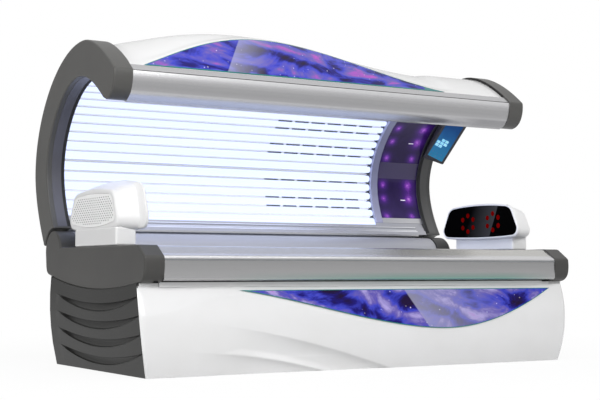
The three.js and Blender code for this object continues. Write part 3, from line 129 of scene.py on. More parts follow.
# Node helpers
def new_node(tree, kind, values=(), **settings):
    """A node with its settings, and with values on its input sockets."""
    node = tree.nodes.new(kind)
    for key, value in settings.items():
        setattr(node, key, value)
    for key, value in dict(values).items():
        node.inputs[key].default_value = value
    return node


def material(name, colour, rough, metallic=0.0, **sockets):
    mat = bpy.data.materials.new(name)
    mat.use_nodes = True
    shader = mat.node_tree.nodes["Principled BSDF"]
    sockets.update(Base_Color=(*colour, 1), Roughness=rough, Metallic=metallic)
    for key, value in sockets.items():
        shader.inputs[key.replace("_", " ")].default_value = value
    return mat, mat.node_tree, shader


def feed(tree, shader, **sources):
    """Links node outputs to the shader's sockets."""
    for key, source in sources.items():
        tree.links.new(source, shader.inputs[key.replace("_", " ")])


def object_place(tree):
    return new_node(tree, "ShaderNodeTexCoord").outputs["Object"]


def axis(tree, name):
    node = new_node(tree, "ShaderNodeSeparateXYZ")
    tree.links.new(object_place(tree), node.inputs["Vector"])
    return node.outputs[name]


def measured(tree, operation, vector):
    """A vector operation between the place on the object and a fixed vector."""
    node = new_node(tree, "ShaderNodeVectorMath", {1: vector}, operation=operation)
    tree.links.new(object_place(tree), node.inputs[0])
    return node.outputs["Value"]


def noise(tree, scale, detail, stretch=(1, 1, 1), distortion=0.0):
    values = {"Scale": scale, "Detail": detail, "Distortion": distortion}
    node = new_node(tree, "ShaderNodeTexNoise", values)
    mapping = new_node(tree, "ShaderNodeMapping", {"Scale": stretch})
    tree.links.new(object_place(tree), mapping.inputs["Vector"])
    tree.links.new(mapping.outputs["Vector"], node.inputs["Vector"])
    return node.outputs["Fac"]


def ramp(tree, factor, stops):
    node = new_node(tree, "ShaderNodeValToRGB")
    elements = node.color_ramp.elements
    for k, (place, colour) in enumerate(stops):
        element = elements[k] if k < 2 else elements.new(place)
        element.position = place
        element.color = (*colour, 1)
    tree.links.new(factor, node.inputs["Fac"])
    return node.outputs["Color"]


def spread(tree, factor, low, high, start=0.0, end=1.0):
    limits = {"From Min": start, "From Max": end, "To Min": low, "To Max": high}
    node = new_node(tree, "ShaderNodeMapRange", limits, clamp=True)
    tree.links.new(factor, node.inputs["Value"])
    return node.outputs["Result"]


def maths(tree, operation, a, b):
    node = new_node(tree, "ShaderNodeMath", operation=operation)
    for slot, value in enumerate((a, b)):
        if isinstance(value, (int, float)):
            node.inputs[slot].default_value = value
        else:
            tree.links.new(value, node.inputs[slot])
    return node.outputs["Value"]


def mixed(tree, factor, colour, other):
    """A colour that turns into a fixed other one."""
    node = new_node(tree, "ShaderNodeMix", data_type="RGBA")
    node.inputs[7].default_value = (*other, 1)
    tree.links.new(factor, node.inputs[0])
    tree.links.new(colour, node.inputs[6])
    return node.outputs[2]


def bump(tree, shader, height, strength, distance):
    node = new_node(tree, "ShaderNodeBump", {"Strength": strength, "Distance": distance})
    tree.links.new(height, node.inputs["Height"])
    tree.links.new(node.outputs["Normal"], shader.inputs["Normal"])


# Moulded plastic, with slight changes of tone and a fine grain
def moulded(name, dark, light, rough, grain=900, strength=0.12, gloss=0.5, **sockets):
    mat, tree, shader = material(name, dark, rough, Specular_IOR_Level=gloss, **sockets)
    fine = noise(tree, grain, 2)
    feed(tree, shader, Base_Color=ramp(tree, noise(tree, 5, 4), [(0.35, dark), (0.65, light)]),
         Roughness=spread(tree, fine, rough - 0.06, rough + 0.06))
    bump(tree, shader, fine, strength, 0.0006)
    return mat


# Brushed metal, with streaks along the bed
BRUSHED = (0.6, 60, 60)
STREAK_DEPTH = 0.0004


def streaked(name, colour, rough, limits, stretch=BRUSHED, strength=0.004, share=0.85):
    """A metal whose colour is still to be linked, and its streaks."""
    mat, tree, shader = material(name, colour, rough, share)
    streak = noise(tree, 14, 3, stretch)
    feed(tree, shader, Roughness=spread(tree, streak, *limits))
    bump(tree, shader, streak, strength, STREAK_DEPTH)
    return mat, tree, shader, streak


def metal(name, dark, light, rough, **finish):
    mat, tree, shader, streak = streaked(name, dark, rough, (rough - 0.02, rough + 0.02), **finish)
    feed(tree, shader, Base_Color=ramp(tree, streak, [(0.3, dark), (0.7, light)]))
    return mat


# Bench rail: a painted reflection of the green acrylic sheets on its foot, a painted highlight on its edge
# above the groove, and a painted lit tone on the slope above that, warm against the lamps' blue reflection
RAIL_DARK, RAIL_LIGHT, RAIL_GREEN_REFLECTION = (0.385, 0.385, 0.39), (0.40, 0.40, 0.405), (0.15, 0.32, 0.27)
RAIL_HIGHLIGHT, RAIL_LIT_SLOPE = (0.62, 0.62, 0.63), (0.53, 0.525, 0.505)
GREEN_REFLECTION_LEVELS, HIGHLIGHT_LEVELS, LIT_SLOPE_LEVELS = (0.378, 0.412), (0.457, 0.462), (0.479, 0.487)
RAIL_ROUGH, RAIL_ROUGH_LIMITS = 0.27, (0.25, 0.28)


def painted_light_bench_rail():
    mat, tree, shader, streak = streaked("bench_rail", (0.39, 0.39, 0.40), RAIL_ROUGH, RAIL_ROUGH_LIMITS)
    x, z = axis(tree, "X"), axis(tree, "Z")
    low = spread(tree, z, 1.0, 0.0, *GREEN_REFLECTION_LEVELS)
    start, end = spread(tree, x, 0.0, 0.95, -0.75, 0.1), spread(tree, x, 1.0, 0.0, 0.7, 1.0)
    green_reflection = maths(tree, "MULTIPLY", maths(tree, "MULTIPLY", low, start), end)
    colour = ramp(tree, streak, [(0.3, RAIL_DARK), (0.7, RAIL_LIGHT)])
    colour = mixed(tree, green_reflection, colour, RAIL_GREEN_REFLECTION)
    colour = mixed(tree, spread(tree, z, 0.0, 1.0, *HIGHLIGHT_LEVELS), colour, RAIL_HIGHLIGHT)
    feed(tree, shader, Base_Color=mixed(tree, spread(tree, z, 0.0, 1.0, *LIT_SLOPE_LEVELS), colour, RAIL_LIT_SLOPE))
    return mat


# Canopy rail: painted highlight and shade in bands by the share of the way from the groove to the foot, a
# darker painted tone on the lip, and painted shade on the foot at its right end
PAINTED_RAIL_BANDS = ((0.0, 0.86), (0.12, 0.86), (0.2, 0.68), (0.27, 0.48), (0.35, 0.36), (0.5, 0.34),
              (0.62, 0.38), (0.73, 0.68), (0.81, 0.80), (0.92, 0.74), (1.0, 0.5))
SHADED_LIP_TONE, SHADED_END = 0.49, (0.31, 0.31, 0.32)


def painted_light_canopy_rail(top, groove, foot):
    mat, tree, shader, _ = streaked("canopy_rail", (0.4, 0.4, 0.4), RAIL_ROUGH, RAIL_ROUGH_LIMITS)
    down = spread(tree, axis(tree, "Z"), 0.0, 1.0, top, foot)
    start = (top - groove) / (top - foot)
    stops = [(0.0, SHADED_LIP_TONE), (start - 0.01, SHADED_LIP_TONE)]
    stops += [(start + (1 - start) * share, tone) for share, tone in PAINTED_RAIL_BANDS]
    colour = ramp(tree, down, [(place, (tone, tone, tone * 1.02)) for place, tone in stops])
    low = spread(tree, down, 0.0, 1.0, start + (1 - start) * 0.62, start + (1 - start) * 0.72)
    end = spread(tree, axis(tree, "X"), 0.0, 1.0, 0.45, 0.85)
    feed(tree, shader, Base_Color=mixed(tree, maths(tree, "MULTIPLY", low, end), colour, SHADED_END))
    return mat


def lamp_look(name, strength):
    mat, tree, shader = material(name, (0.02, 0.02, 0.02), 0.6, Specular_IOR_Level=0.1,
                                 Emission_Strength=strength)
    stops = [(0.3, (0.59, 0.67, 1.0)), (0.7, (0.62, 0.70, 1.0))]
    feed(tree, shader, Emission_Color=ramp(tree, noise(tree, 3, 2, (0.4, 8, 8)), stops))
    return mat


# Smoked violet acrylic with the ragged glow of the lamps behind it painted on as emission
VIOLET_DARK, VIOLET_LIGHT = (0.020, 0.010, 0.062), (0.032, 0.017, 0.09)
GLOW_STOPS = [(0.0, (0.004, 0.001, 0.012)), (0.3, (0.05, 0.008, 0.16)), (0.7, (0.26, 0.05, 0.5)),
              (1.0, (0.62, 0.25, 0.8))]


def violet_look(spots):
    mat, tree, shader = material("violet_acrylic", VIOLET_DARK, 0.2, Specular_IOR_Level=0.2,
                                 Emission_Strength=0.8)
    total = 0.0
    for point, reach in spots:
        near = spread(tree, measured(tree, "DISTANCE", point), 1.0, 0.0, 0.0, reach)
        total = maths(tree, "ADD", total, maths(tree, "POWER", near, 3.0))
    ragged = maths(tree, "MULTIPLY", total, spread(tree, noise(tree, 42, 4, distortion=2.0), 0.35, 1.5))
    cloud = noise(tree, 9, 5, distortion=1.2)
    feed(tree, shader, Base_Color=ramp(tree, cloud, [(0.3, VIOLET_DARK), (0.7, VIOLET_LIGHT)]),
         Emission_Color=ramp(tree, ragged, GLOW_STOPS),
         Roughness=spread(tree, noise(tree, 400, 2), 0.08, 0.16))
    return mat


# Print of clouded bands and fine dots, under clear acrylic, with one painted reflection: a lighter slanting
# field
PRINT_STRETCH, DOT_COLOUR, REFLECTION_COLOUR = (1.0, 1.0, 1.9), (0.8, 0.78, 0.95), (0.42, 0.42, 0.58)
CLOUD_VALUES = {"Scale": 4.2, "Detail": 12.0, "Roughness": 0.62, "Distortion": 1.4}
WAVE_VALUES = {"Scale": 1.3, "Distortion": 8.0, "Detail": 6.0, "Detail Scale": 2.2}


def print_look(name, stops, shift, facing, edge, fade):
    mat, tree, shader = material(name, (0.1, 0.08, 0.4), 0.3, Specular_IOR_Level=0.12)
    mapping = new_node(tree, "ShaderNodeMapping", {"Location": shift, "Scale": PRINT_STRETCH})
    cloud = new_node(tree, "ShaderNodeTexNoise", CLOUD_VALUES)
    wave = new_node(tree, "ShaderNodeTexWave", WAVE_VALUES, bands_direction="DIAGONAL")
    dots = new_node(tree, "ShaderNodeTexVoronoi", {"Scale": 40})
    for node in (mapping, dots):
        tree.links.new(object_place(tree), node.inputs["Vector"])
    for node in (cloud, wave):
        tree.links.new(mapping.outputs["Vector"], node.inputs["Vector"])
    blend = maths(tree, "ADD", maths(tree, "MULTIPLY", cloud.outputs["Fac"], 0.80),
                  maths(tree, "MULTIPLY", wave.outputs["Fac"], 0.20))
    light = spread(tree, dots.outputs["Distance"], 1.0, 0.0, 0.06, 0.14)
    chosen = spread(tree, noise(tree, 23, 1), 0.0, 1.0, 0.5, 0.57)
    colour = mixed(tree, maths(tree, "MULTIPLY", light, chosen), ramp(tree, blend, stops), DOT_COLOUR)
    line = measured(tree, "DOT_PRODUCT", facing)
    painted_reflection_field = maths(tree, "MULTIPLY", spread(tree, line, 0.0, 1.0, edge, edge + 0.004),
                  spread(tree, line, 0.6, 0.0, edge, edge + fade))
    feed(tree, shader, Base_Color=mixed(tree, painted_reflection_field, colour, REFLECTION_COLOUR),
         Roughness=spread(tree, noise(tree, 300, 2), 0.25, 0.35))
    return mat


# Lit screen, paler towards its lower end
SCREEN_STOPS = [(0.0, (0.03, 0.22, 0.36)), (0.4, (0.022, 0.16, 0.32)), (0.75, (0.012, 0.08, 0.22)),
                (1.0, (0.006, 0.03, 0.12))]
SCREEN_REACH = 0.23


def screen_look(corner, direction):
    mat, tree, shader = material("screen", (0.01, 0.06, 0.16), 0.2, Specular_IOR_Level=0.2,
                                 Emission_Strength=0.75)
    start = corner.dot(direction)
    line = measured(tree, "DOT_PRODUCT", direction)
    rise = maths(tree, "ADD", spread(tree, line, 0.0, 1.0, start, start + SCREEN_REACH),
                 spread(tree, noise(tree, 30, 3), -0.08, 0.08))
    feed(tree, shader, Emission_Color=ramp(tree, rise, SCREEN_STOPS))
    return mat


def glow_look(name, low, high, strength, scale=60, gloss=0.5):
    mat, tree, shader = material(name, low, 0.3, Specular_IOR_Level=gloss, Emission_Strength=strength)
    colour = ramp(tree, noise(tree, scale, 2), [(0.35, low), (0.65, high)])
    feed(tree, shader, Base_Color=colour, Emission_Color=colour)
    return mat


# Smoked black window with one painted reflection: a lighter slanting sheen
PAINTED_SHEEN_STOPS = [(0.0, (0.0015, 0.0015, 0.0016)), (1.0, (0.045, 0.045, 0.047))]


def window_look(facing, edge):
    mat, tree, shader = material("window_black", (0.002, 0.002, 0.002), 0.12, Specular_IOR_Level=0.0)
    line = measured(tree, "DOT_PRODUCT", facing)
    painted_sheen = maths(tree, "MULTIPLY", spread(tree, line, 1.0, 0.0, edge - 0.003, edge),
                  spread(tree, line, 0.0, 1.0, edge - 0.12, edge))
    feed(tree, shader, Base_Color=ramp(tree, painted_sheen, PAINTED_SHEEN_STOPS),
         Roughness=spread(tree, noise(tree, 80, 2), 0.08, 0.16))
    return mat


def clear_look():
    mat, tree, shader = material("clear_acrylic", (0.8, 0.9, 1.0), 0.05, Alpha=0.06)
    stops = [(0.3, (0.78, 0.88, 1.0)), (0.7, (0.84, 0.94, 1.0))]
    feed(tree, shader, Base_Color=ramp(tree, noise(tree, 4, 2), stops),
         Roughness=spread(tree, noise(tree, 60, 2), 0.03, 0.08))
    return mat


# Materials
def even(tone):
    return (tone, tone, tone)


GREY = moulded("grey_plastic", (0.077, 0.076, 0.073), (0.085, 0.084, 0.080), 0.38, gloss=0.3)
CAP_GREY = moulded("cap_plastic", (0.056, 0.055, 0.053), (0.062, 0.061, 0.058), 0.38, gloss=0.25)
# The end panels take a darker copy of the grey plastic: painted shade on them.
PANEL = moulded("shaded_end_panel_plastic", (0.022, 0.022, 0.021), (0.026, 0.026, 0.025), 0.42, gloss=0.22)
# The left lining is a lighter, bluer copy of the grey: painted lamp light on it.
LININGS = {
    "left": moulded("arch_lining", (0.085, 0.085, 0.10), (0.1, 0.1, 0.118), 0.4, gloss=0.4),
    "right": moulded("right_arch_lining", (0.086, 0.085, 0.081), (0.096, 0.095, 0.09), 0.4, gloss=0.4),
}
WHITE = moulded("white_gloss", even(0.765), (0.79, 0.79, 0.795), 0.24, 500, 0.03, Coat_Weight=0.35,
                Coat_Roughness=0.08)
POD_WHITE = moulded("pod_white", even(0.755), (0.78, 0.78, 0.785), 0.3, 500, 0.03, 0.4)
GRILLE_WHITE = moulded("grille_white", even(0.93), even(0.95), 0.45, 500, 0.03, 0.3)
HOLE_GREY = moulded("grille_backing", even(0.20), even(0.24), 0.7, 400, 0.1)
ALUMINIUM = metal("aluminium", (0.64, 0.64, 0.65), (0.655, 0.655, 0.665), 0.28)
REAR_ALUMINIUM = metal("rear_aluminium", (0.42, 0.42, 0.44), (0.43, 0.43, 0.45), 0.5, strength=0.001,
                       share=0.3)
REFLECTOR = metal("reflector", (0.52, 0.50, 0.44), (0.58, 0.56, 0.50), 0.3)
# The lamp ribs have a faint white emission: painted lamp light on them.
RIB = moulded("lamp_rib", (0.74, 0.71, 0.70), (0.80, 0.77, 0.76), 0.5, gloss=0.1, Emission_Strength=0.12)
STEEL = moulded("frame_steel", (0.20, 0.21, 0.22), (0.25, 0.26, 0.27), 0.5, 260, 0.2)
BRIGHT = metal("bright_steel", (0.5, 0.51, 0.52), (0.6, 0.61, 0.62), 0.25, stretch=(30, 30, 30))
BLACK = moulded("black_plastic", (0.004, 0.004, 0.005), (0.007, 0.007, 0.008), 0.2, 700, 0.03, 0.2)
BLACK_METAL = moulded("black_metal", even(0.008), even(0.014), 0.4, 300, 0.1)
RUBBER = moulded("rubber", even(0.015), even(0.022), 0.85, 500, 0.3)
BOARD = moulded("circuit_board", (0.010, 0.035, 0.018), (0.014, 0.05, 0.024), 0.5, 200, 0.1)
LAMP = lamp_look("lamp_glass", 1.6)
CLEAR = clear_look()
TEAL = moulded("acrylic_edge", (0.01, 0.16, 0.16), (0.02, 0.22, 0.21), 0.2, 400, 0.05)


# Curves
def smooth(t):
    t = min(1.0, max(0.0, t))
    return t * t * (3 - 2 * t)


def fade(x, start, length):
    """Rises from 0 at the start to 1 at the end of a length, which may run backwards."""
    return smooth((x - start) / length)


def steps(start, end, count):
    return [start + (end - start) * k / count for k in range(count + 1)]


def between(a, b, t):
    return tuple(p + (q - p) * t for p, q in zip(a, b))


def cubic(a, b, c, d, t):
    s = 1 - t
    return s ** 3 * a + 3 * s * s * t * b + 3 * s * t * t * c + t ** 3 * d


def bezier(a, b, c, d, count):
    return [tuple(cubic(*values, t) for values in zip(a, b, c, d)) for t in steps(0, 1, count)]


def quadratic(a, b, c, count):
    return [tuple((1 - t) ** 2 * p + 2 * (1 - t) * t * q + t * t * r for p, q, r in zip(a, b, c))
            for t in steps(0, 1, count)]


class Line:
    """A line through points, asked for places by distance along it."""

    def __init__(self, points):
        self.points = points
        self.marks = [0.0]
        for a, b in zip(points, points[1:]):
            self.marks.append(self.marks[-1] + math.dist(a, b))
        self.length = self.marks[-1]

    def at(self, distance):
        distance = min(self.length, max(0.0, distance))
        k = 1
        while k < len(self.marks) - 1 and self.marks[k] < distance:
            k += 1
        t = (distance - self.marks[k - 1]) / (self.marks[k] - self.marks[k - 1])
        return between(self.points[k - 1], self.points[k], t)

    def beside(self, distance, depth):
        """The place at a depth to the left of the line."""
        point, a, b = self.at(distance), self.at(distance - 2), self.at(distance + 2)
        run = math.dist(a, b)
        return (point[0] - (b[1] - a[1]) / run * depth, point[1] + (b[0] - a[0]) / run * depth)


def curve(*spans):
    points = []
    for span in spans:
        points += bezier(*span, 60)[1 if points else 0:]
    return Line(points)


# Section of the canopy
ARCH_TAIL = (112, 25)
ARCH_REAR = (240, 364)
CROWN = (-329, 902)
NOSE = (-672, 739)
CHIN = (-590, 617)
LINER_TIP = (-559, 628)
LINER_FOOT = (-3, 105)
LINER_REAR = (90, 368)
LINER_CROWN = (-286, 750)
outer_path = curve((ARCH_TAIL, (173, 119), (240, 250), ARCH_REAR),
                   (ARCH_REAR, (240, 632), (-32, 902), CROWN),
                   (CROWN, (-444, 902), (-583, 814), NOSE))
inner_path = curve((LINER_FOOT, (46, 178), (90, 279), LINER_REAR),
                   (LINER_REAR, (90, 556), (-114, 750), LINER_CROWN),
                   (LINER_CROWN, (-382, 750), (-482, 688), LINER_TIP))
COVER_TAIL = 15.0
COVER_STOP = outer_path.length - 48.0
LINER_START = 78.6
LINER_STOP = inner_path.length - 46.0
cover_at = outer_path.beside


def liner_at(distance, depth):
    return inner_path.beside(distance, -depth)


def on_bench(x, y, z):
    return Vector((x, y + ROOT_Y, z)) / 1000


def on_canopy(x, y, z):
    return Vector((x, y + ROOT_Y, z + HINGE_Z)) / 1000


# Mesh helpers: a shape is a pair of points and faces
def add_piece(name, shape, looks, body, slot, sharp=35, node=None, kinds=None):
    """A piece that rides on a body and may stand for a CAD node; its slot is not used."""
    points, faces = shape
    mesh = bpy.data.meshes.new(name)
    mesh.from_pydata(points, [], faces)
    for look in looks if isinstance(looks, list) else [looks]:
        mesh.materials.append(look)
    if kinds:
        mesh.polygons.foreach_set("material_index", kinds)
    work = bmesh.new()
    work.from_mesh(mesh)
    bmesh.ops.recalc_face_normals(work, faces=work.faces)
    work.to_mesh(mesh)
    work.free()
    mesh.polygons.foreach_set("use_smooth", [True] * len(mesh.polygons))
    mesh.set_sharp_from_angle(angle=math.radians(sharp))
    piece = bpy.data.objects.new(name, mesh)
    bpy.context.collection.objects.link(piece)
    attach(piece, body)
    if node:
        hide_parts(node)
    return piece


def sheet(outer, inner, columns, rows):
    """A closed sheet between two surfaces, with the faces of its rim last."""
    points = [face(i, j) for face in (outer, inner) for i in range(columns + 1) for j in range(rows + 1)]

    def at(face, i, j):
        return (face * (columns + 1) + i) * (rows + 1) + j

    faces = []
    for i in range(columns):
        for j in range(rows):
            faces.append((at(0, i, j), at(0, i + 1, j), at(0, i + 1, j + 1), at(0, i, j + 1)))
            faces.append((at(1, i, j), at(1, i, j + 1), at(1, i + 1, j + 1), at(1, i + 1, j)))
    for i in range(columns):
        faces.append((at(0, i, 0), at(1, i, 0), at(1, i + 1, 0), at(0, i + 1, 0)))
        faces.append((at(0, i, rows), at(0, i + 1, rows), at(1, i + 1, rows), at(1, i, rows)))
    for j in range(rows):
        faces.append((at(0, 0, j), at(0, 0, j + 1), at(1, 0, j + 1), at(1, 0, j)))
        faces.append((at(0, columns, j), at(1, columns, j), at(1, columns, j + 1), at(0, columns, j + 1)))
    return points, faces


def strip(line_at, x0, x1, depth0, depth1, start, stop, rows):
    """A strip between two places along the bed that follows a line of the section."""
    stations = steps(start, stop, rows)

    def face(depth):
        return lambda i, j: on_canopy(x1 if i else x0, *line_at(stations[j], depth))
    return sheet(face(depth0), face(depth1), 1, rows)


def loft(rings):
    """A closed solid through rings of equal count."""
    count = len(rings[0])
    points = [p for ring in rings for p in ring]
    faces = []
    for k in range(len(rings) - 1):
        for i in range(count):
            j = (i + 1) % count
            faces.append((k * count + i, k * count + j, (k + 1) * count + j, (k + 1) * count + i))
    faces.append(tuple(range(count))[::-1])
    faces.append(tuple(range((len(rings) - 1) * count, len(rings) * count)))
    return points, faces


def turned(stations, a, b, sides, place):
    """A round solid about the line at a and b, through stations of distance and radius."""
    turns = [2 * math.pi * k / sides for k in range(sides)]
    return loft([[place(x, a + r * math.cos(t), b + r * math.sin(t)) for t in turns] for x, r in stations])


def prism(outline, x0, x1, place):
    return loft([[place(x, y, z) for y, z in outline] for x in (x0, x1)])


def box(x0, x1, y0, y1, z0, z1):
    return prism([(y0, z0), (y1, z0), (y1, z1), (y0, z1)], x0, x1, on_bench)


def joined(shapes):
    points, faces = [], []
    for more_points, more_faces in shapes:
        start = len(points)
        points += more_points
        faces += [tuple(start + k for k in face) for face in more_faces]
    return points, faces


def rounded(piece, width, segments=2, angle=40, limit="ANGLE"):
    modifier = piece.modifiers.new("rounding", "BEVEL")
    modifier.width = width / 1000
    modifier.segments = segments
    modifier.limit_method = limit
    modifier.angle_limit = math.radians(angle)
    modifier.harden_normals = True


def rounded_outside(piece, width, angle):
    """Rounds the sharp edges of an end moulding, but not those where it meets the bed."""
    work = bmesh.new()
    work.from_mesh(piece.data)
    weight = work.edges.layers.float.new("bevel_weight_edge")
    for edge in work.edges:
        at_joint = all(abs(abs(v.co.x) - ARCH_IN / 1000) < 1e-4 for v in edge.verts)
        bent = len(edge.link_faces) == 2 and edge.calc_face_angle() > math.radians(angle)
        edge[weight] = 1.0 if bent and not at_joint else 0.0
    work.to_mesh(piece.data)
    work.free()
    rounded(piece, width, 4, angle, "WEIGHT")


def smoothing_group():
    tree = bpy.data.node_groups.new("smooth_by_angle", "GeometryNodeTree")
    for direction in ("INPUT", "OUTPUT"):
        tree.interface.new_socket("Geometry", in_out=direction, socket_type="NodeSocketGeometry")
    edges = new_node(tree, "GeometryNodeSetShadeSmooth", {"Shade Smooth": False}, domain="EDGE")
    chain = (new_node(tree, "NodeGroupInput"),
             new_node(tree, "GeometryNodeRemoveAttribute", {"Name": "custom_normal"}),
             new_node(tree, "GeometryNodeSetShadeSmooth", domain="FACE"), edges,
             new_node(tree, "NodeGroupOutput"))
    for before, after in zip(chain, chain[1:]):
        tree.links.new(before.outputs[0], after.inputs[0])
    angle = new_node(tree, "GeometryNodeInputMeshEdgeAngle")
    wide = new_node(tree, "FunctionNodeCompare", {1: math.radians(32)}, data_type="FLOAT",
                    operation="GREATER_THAN")
    tree.links.new(angle.outputs["Unsigned Angle"], wide.inputs[0])
    tree.links.new(wide.outputs["Result"], edges.inputs["Selection"])
    return tree


SMOOTHING = smoothing_group()


def dress(name, look, bevel=0.0):
    """A CAD node that stays, with its material, welded corners and smooth curves."""
    node = nodes[name]
    node.material_slots[0].material = look
    node.modifiers.new("weld", "WELD").merge_threshold = 0.00002
    if bevel:
        rounded(node, bevel)
    node.modifiers.new("smoothing", "NODES").node_group = SMOOTHING


# Arches, with their linings, and black strips beside the lamps' ends that stand in for the shadow in the gap
FOOT_RADIUS = 105
ARCH_ROUND = 9.0
LINING_X, SHADE_STRIP_X = (1016.0, 1060.0), (ARCH_IN, 1014.0)


def arch_outline():
    outline = [outer_path.at(d) for d in steps(0, outer_path.length, 84)]
    outline += bezier(NOSE, (-680, 694), (-660, 620), CHIN, 16)[1:]
    outline.append(LINER_TIP)
    outline += [inner_path.at(d) for d in steps(inner_path.length, 0, 72)][1:]
    start, end = (math.atan2(z, y) for y, z in (LINER_FOOT, ARCH_TAIL))
    outline += [(FOOT_RADIUS * math.cos(a), FOOT_RADIUS * math.sin(a)) for a in steps(start, end, 12)][1:-1]
    return outline


for side_name, side in SIDES.items():
    shape = prism(arch_outline(), side * ARCH_IN, side * ARCH_OUT, on_canopy)
    arch = add_piece(f"{side_name}_arch_moulding", shape, GREY, "canopy", "grey_plastic",
                     node=f"canopy_{side_name}_arch")
    rounded_outside(arch, ARCH_ROUND, 30)
    for name, look, slot, (x0, x1) in (("lining", LININGS[side_name], "grey_plastic", LINING_X),
                                       ("end_shadow_strip", RUBBER, "rubber", SHADE_STRIP_X)):
        shape = strip(liner_at, side * x0, side * x1, -1.2, 1.0, 12.0, inner_path.length - 4, 60)
        add_piece(f"{side_name}_arch_{name}", shape, look, "canopy", slot)

# Black strips between the arches and the cover, standing in for the shadow in the gap there
for side_name, side in SIDES.items():
    shape = strip(cover_at, side * (ARCH_IN - 3), side * (ARCH_IN + 1), 2.0, 13.0, 70.0,
                  outer_path.length - 62, 60)
    add_piece(f"{side_name}_cover_shadow_band", shape, RUBBER, "canopy", "rubber")


# Prints: leaves with one straight edge
CANOPY_LEAF = ((-0.926, -0.24, 0.64), (0.3, 0.3), (0.45, 0.22), (0.6, 0.6))
SKIRT_LEAF = ((-0.65, 0.39, 0.996), (0.31, 0.28), (0.26, 0.48), (0.68, 0.62))
CANOPY_PRINT_HEIGHT, CANOPY_PRINT_LIFT = 190.0, 8.0
SKIRT_PRINT_DROP, SKIRT_PRINT_MARGIN = 172.0, 18.0
PRINT_FIT, PRINT_THICK = 0.3, 3.0
PRINT_FOOT = cover_at(COVER_STOP, SKIN_DEPTH)[1] + CANOPY_PRINT_LIFT
LEAF_COLUMNS, LEAF_ROWS, LEAF_RIM = 72, 14, 3.2


def halved(low, high, short):
    """The place between low and high up to which the test holds."""
    for _ in range(30):
        middle = (low + high) / 2
        if short(middle):
            low = middle
        else:
            high = middle
    return low


def leaf_swell(x, places, tips, rises, shoulders):
    """How far the curved edge stands from the straight one at x, as a share of the greatest swell."""
    left, middle, right = (p * ARCH_IN for p in places)
    start, k = (left, 0) if x < middle else (right, 1)
    if not min(left, right) < x < max(left, right):
        return 0.0
    tip, shoulder = (start + (middle - start) * share[k] for share in (tips, shoulders))
    t = halved(0.0, 1.0, lambda t: (cubic(start, tip, shoulder, middle, t) < x) == (start < middle))
    return cubic(0.0, rises[k], 1.0, 1.0, t)


def leaf_x(i, leaf):
    left, _, right = (p * ARCH_IN for p in leaf[0])
    return left + (right - left) * (0.0005 + 0.999 * i / LEAF_COLUMNS)


def leaf_share(j, height):
    """Rows across a leaf: a narrow clear rim at both edges and even rows between."""
    rim = min(0.5, LEAF_RIM / max(height, 0.01))
    if j == 0 or j == LEAF_ROWS:
        return j / LEAF_ROWS
    return rim + (1 - 2 * rim) * (j - 1) / (LEAF_ROWS - 2)


# Cover with its brow, and the raised lip round the print
BROW_RISE = 108.0
BROW_LEFT, BROW_PEAK, BROW_RIGHT = -0.96, -0.35, 0.7
BROW_FRONT, BROW_BACK = 320.0, 790.0
LIP_WIDTH, LIP_DEPTH, LIP_SLOPE = 11.0, 10.0, 18.0
LIP_START, LIP_END = (60, 200), (90, 90)
COVER_COLUMNS, COVER_ROWS = 100, 110


def brow(x, distance):
    share = x / ARCH_IN
    reach = COVER_STOP - distance
    if share > BROW_PEAK:
        along = smooth((BROW_RIGHT - share) / (BROW_RIGHT - BROW_PEAK))
    else:
        along = max(0.0, 1 - ((BROW_PEAK - share) / (BROW_PEAK - BROW_LEFT)) ** 2)
    if reach < BROW_FRONT:
        across = math.sin(math.pi / 2 * max(0.0, reach) / BROW_FRONT)
    else:
        across = 1 - smooth((reach - BROW_FRONT) / (BROW_BACK - BROW_FRONT))
    return BROW_RISE * along * across


def cover_point(x, distance, depth):
    y, z = cover_at(distance, depth)
    return (x, y, z + brow(x, distance))


def behind_lip(x, distance):
    """How far the cover drops behind the raised lip that runs round the print."""
    height = cover_point(x, distance, SKIN_DEPTH)[2]
    left, _, right = (p * ARCH_IN for p in CANOPY_LEAF[0])
    edge = PRINT_FOOT + (CANOPY_PRINT_HEIGHT * leaf_swell(x, *CANOPY_LEAF) + LIP_WIDTH)
    ends = smooth((x - left + LIP_START[0]) / LIP_START[1]) * smooth((right + LIP_END[0] - x) / LIP_END[1])
    return LIP_DEPTH * ends * smooth((height - edge) / LIP_SLOPE)


def cover_surface(depth):
    def face(i, j):
        x = -SKIN_END + 2 * SKIN_END * i / COVER_COLUMNS
        distance = COVER_TAIL + (COVER_STOP - COVER_TAIL) * j / COVER_ROWS
        return on_canopy(*cover_point(x, distance, depth + behind_lip(x, distance)))
    return face


add_piece("cover_moulding", sheet(cover_surface(SKIN_DEPTH), cover_surface(SKIN_DEPTH + WALL), COVER_COLUMNS,
                                  COVER_ROWS), WHITE, "canopy", "white_gloss", node="canopy_cover")

# Plan of the base: setbacks at the foot, belly and top
END_SETBACKS, FRONT_SETBACKS = (27, -6, -6), (38, 22, 51)


def through_belly(z, foot, belly, top):
    z0, z1, z2 = SKIRT_BOTTOM, BELLY_HEIGHT, SKIRT_TOP
    a = (z - z1) * (z - z2) / ((z0 - z1) * (z0 - z2))
    b = (z - z0) * (z - z2) / ((z1 - z0) * (z1 - z2))
    c = (z - z0) * (z - z1) / ((z2 - z0) * (z2 - z1))
    return a * foot + b * belly + c * top


def half_length_at(z):
    return ARCH_OUT - through_belly(z, *END_SETBACKS)


def front_at(z):
    return BENCH_FRONT + through_belly(z, *FRONT_SETBACKS)


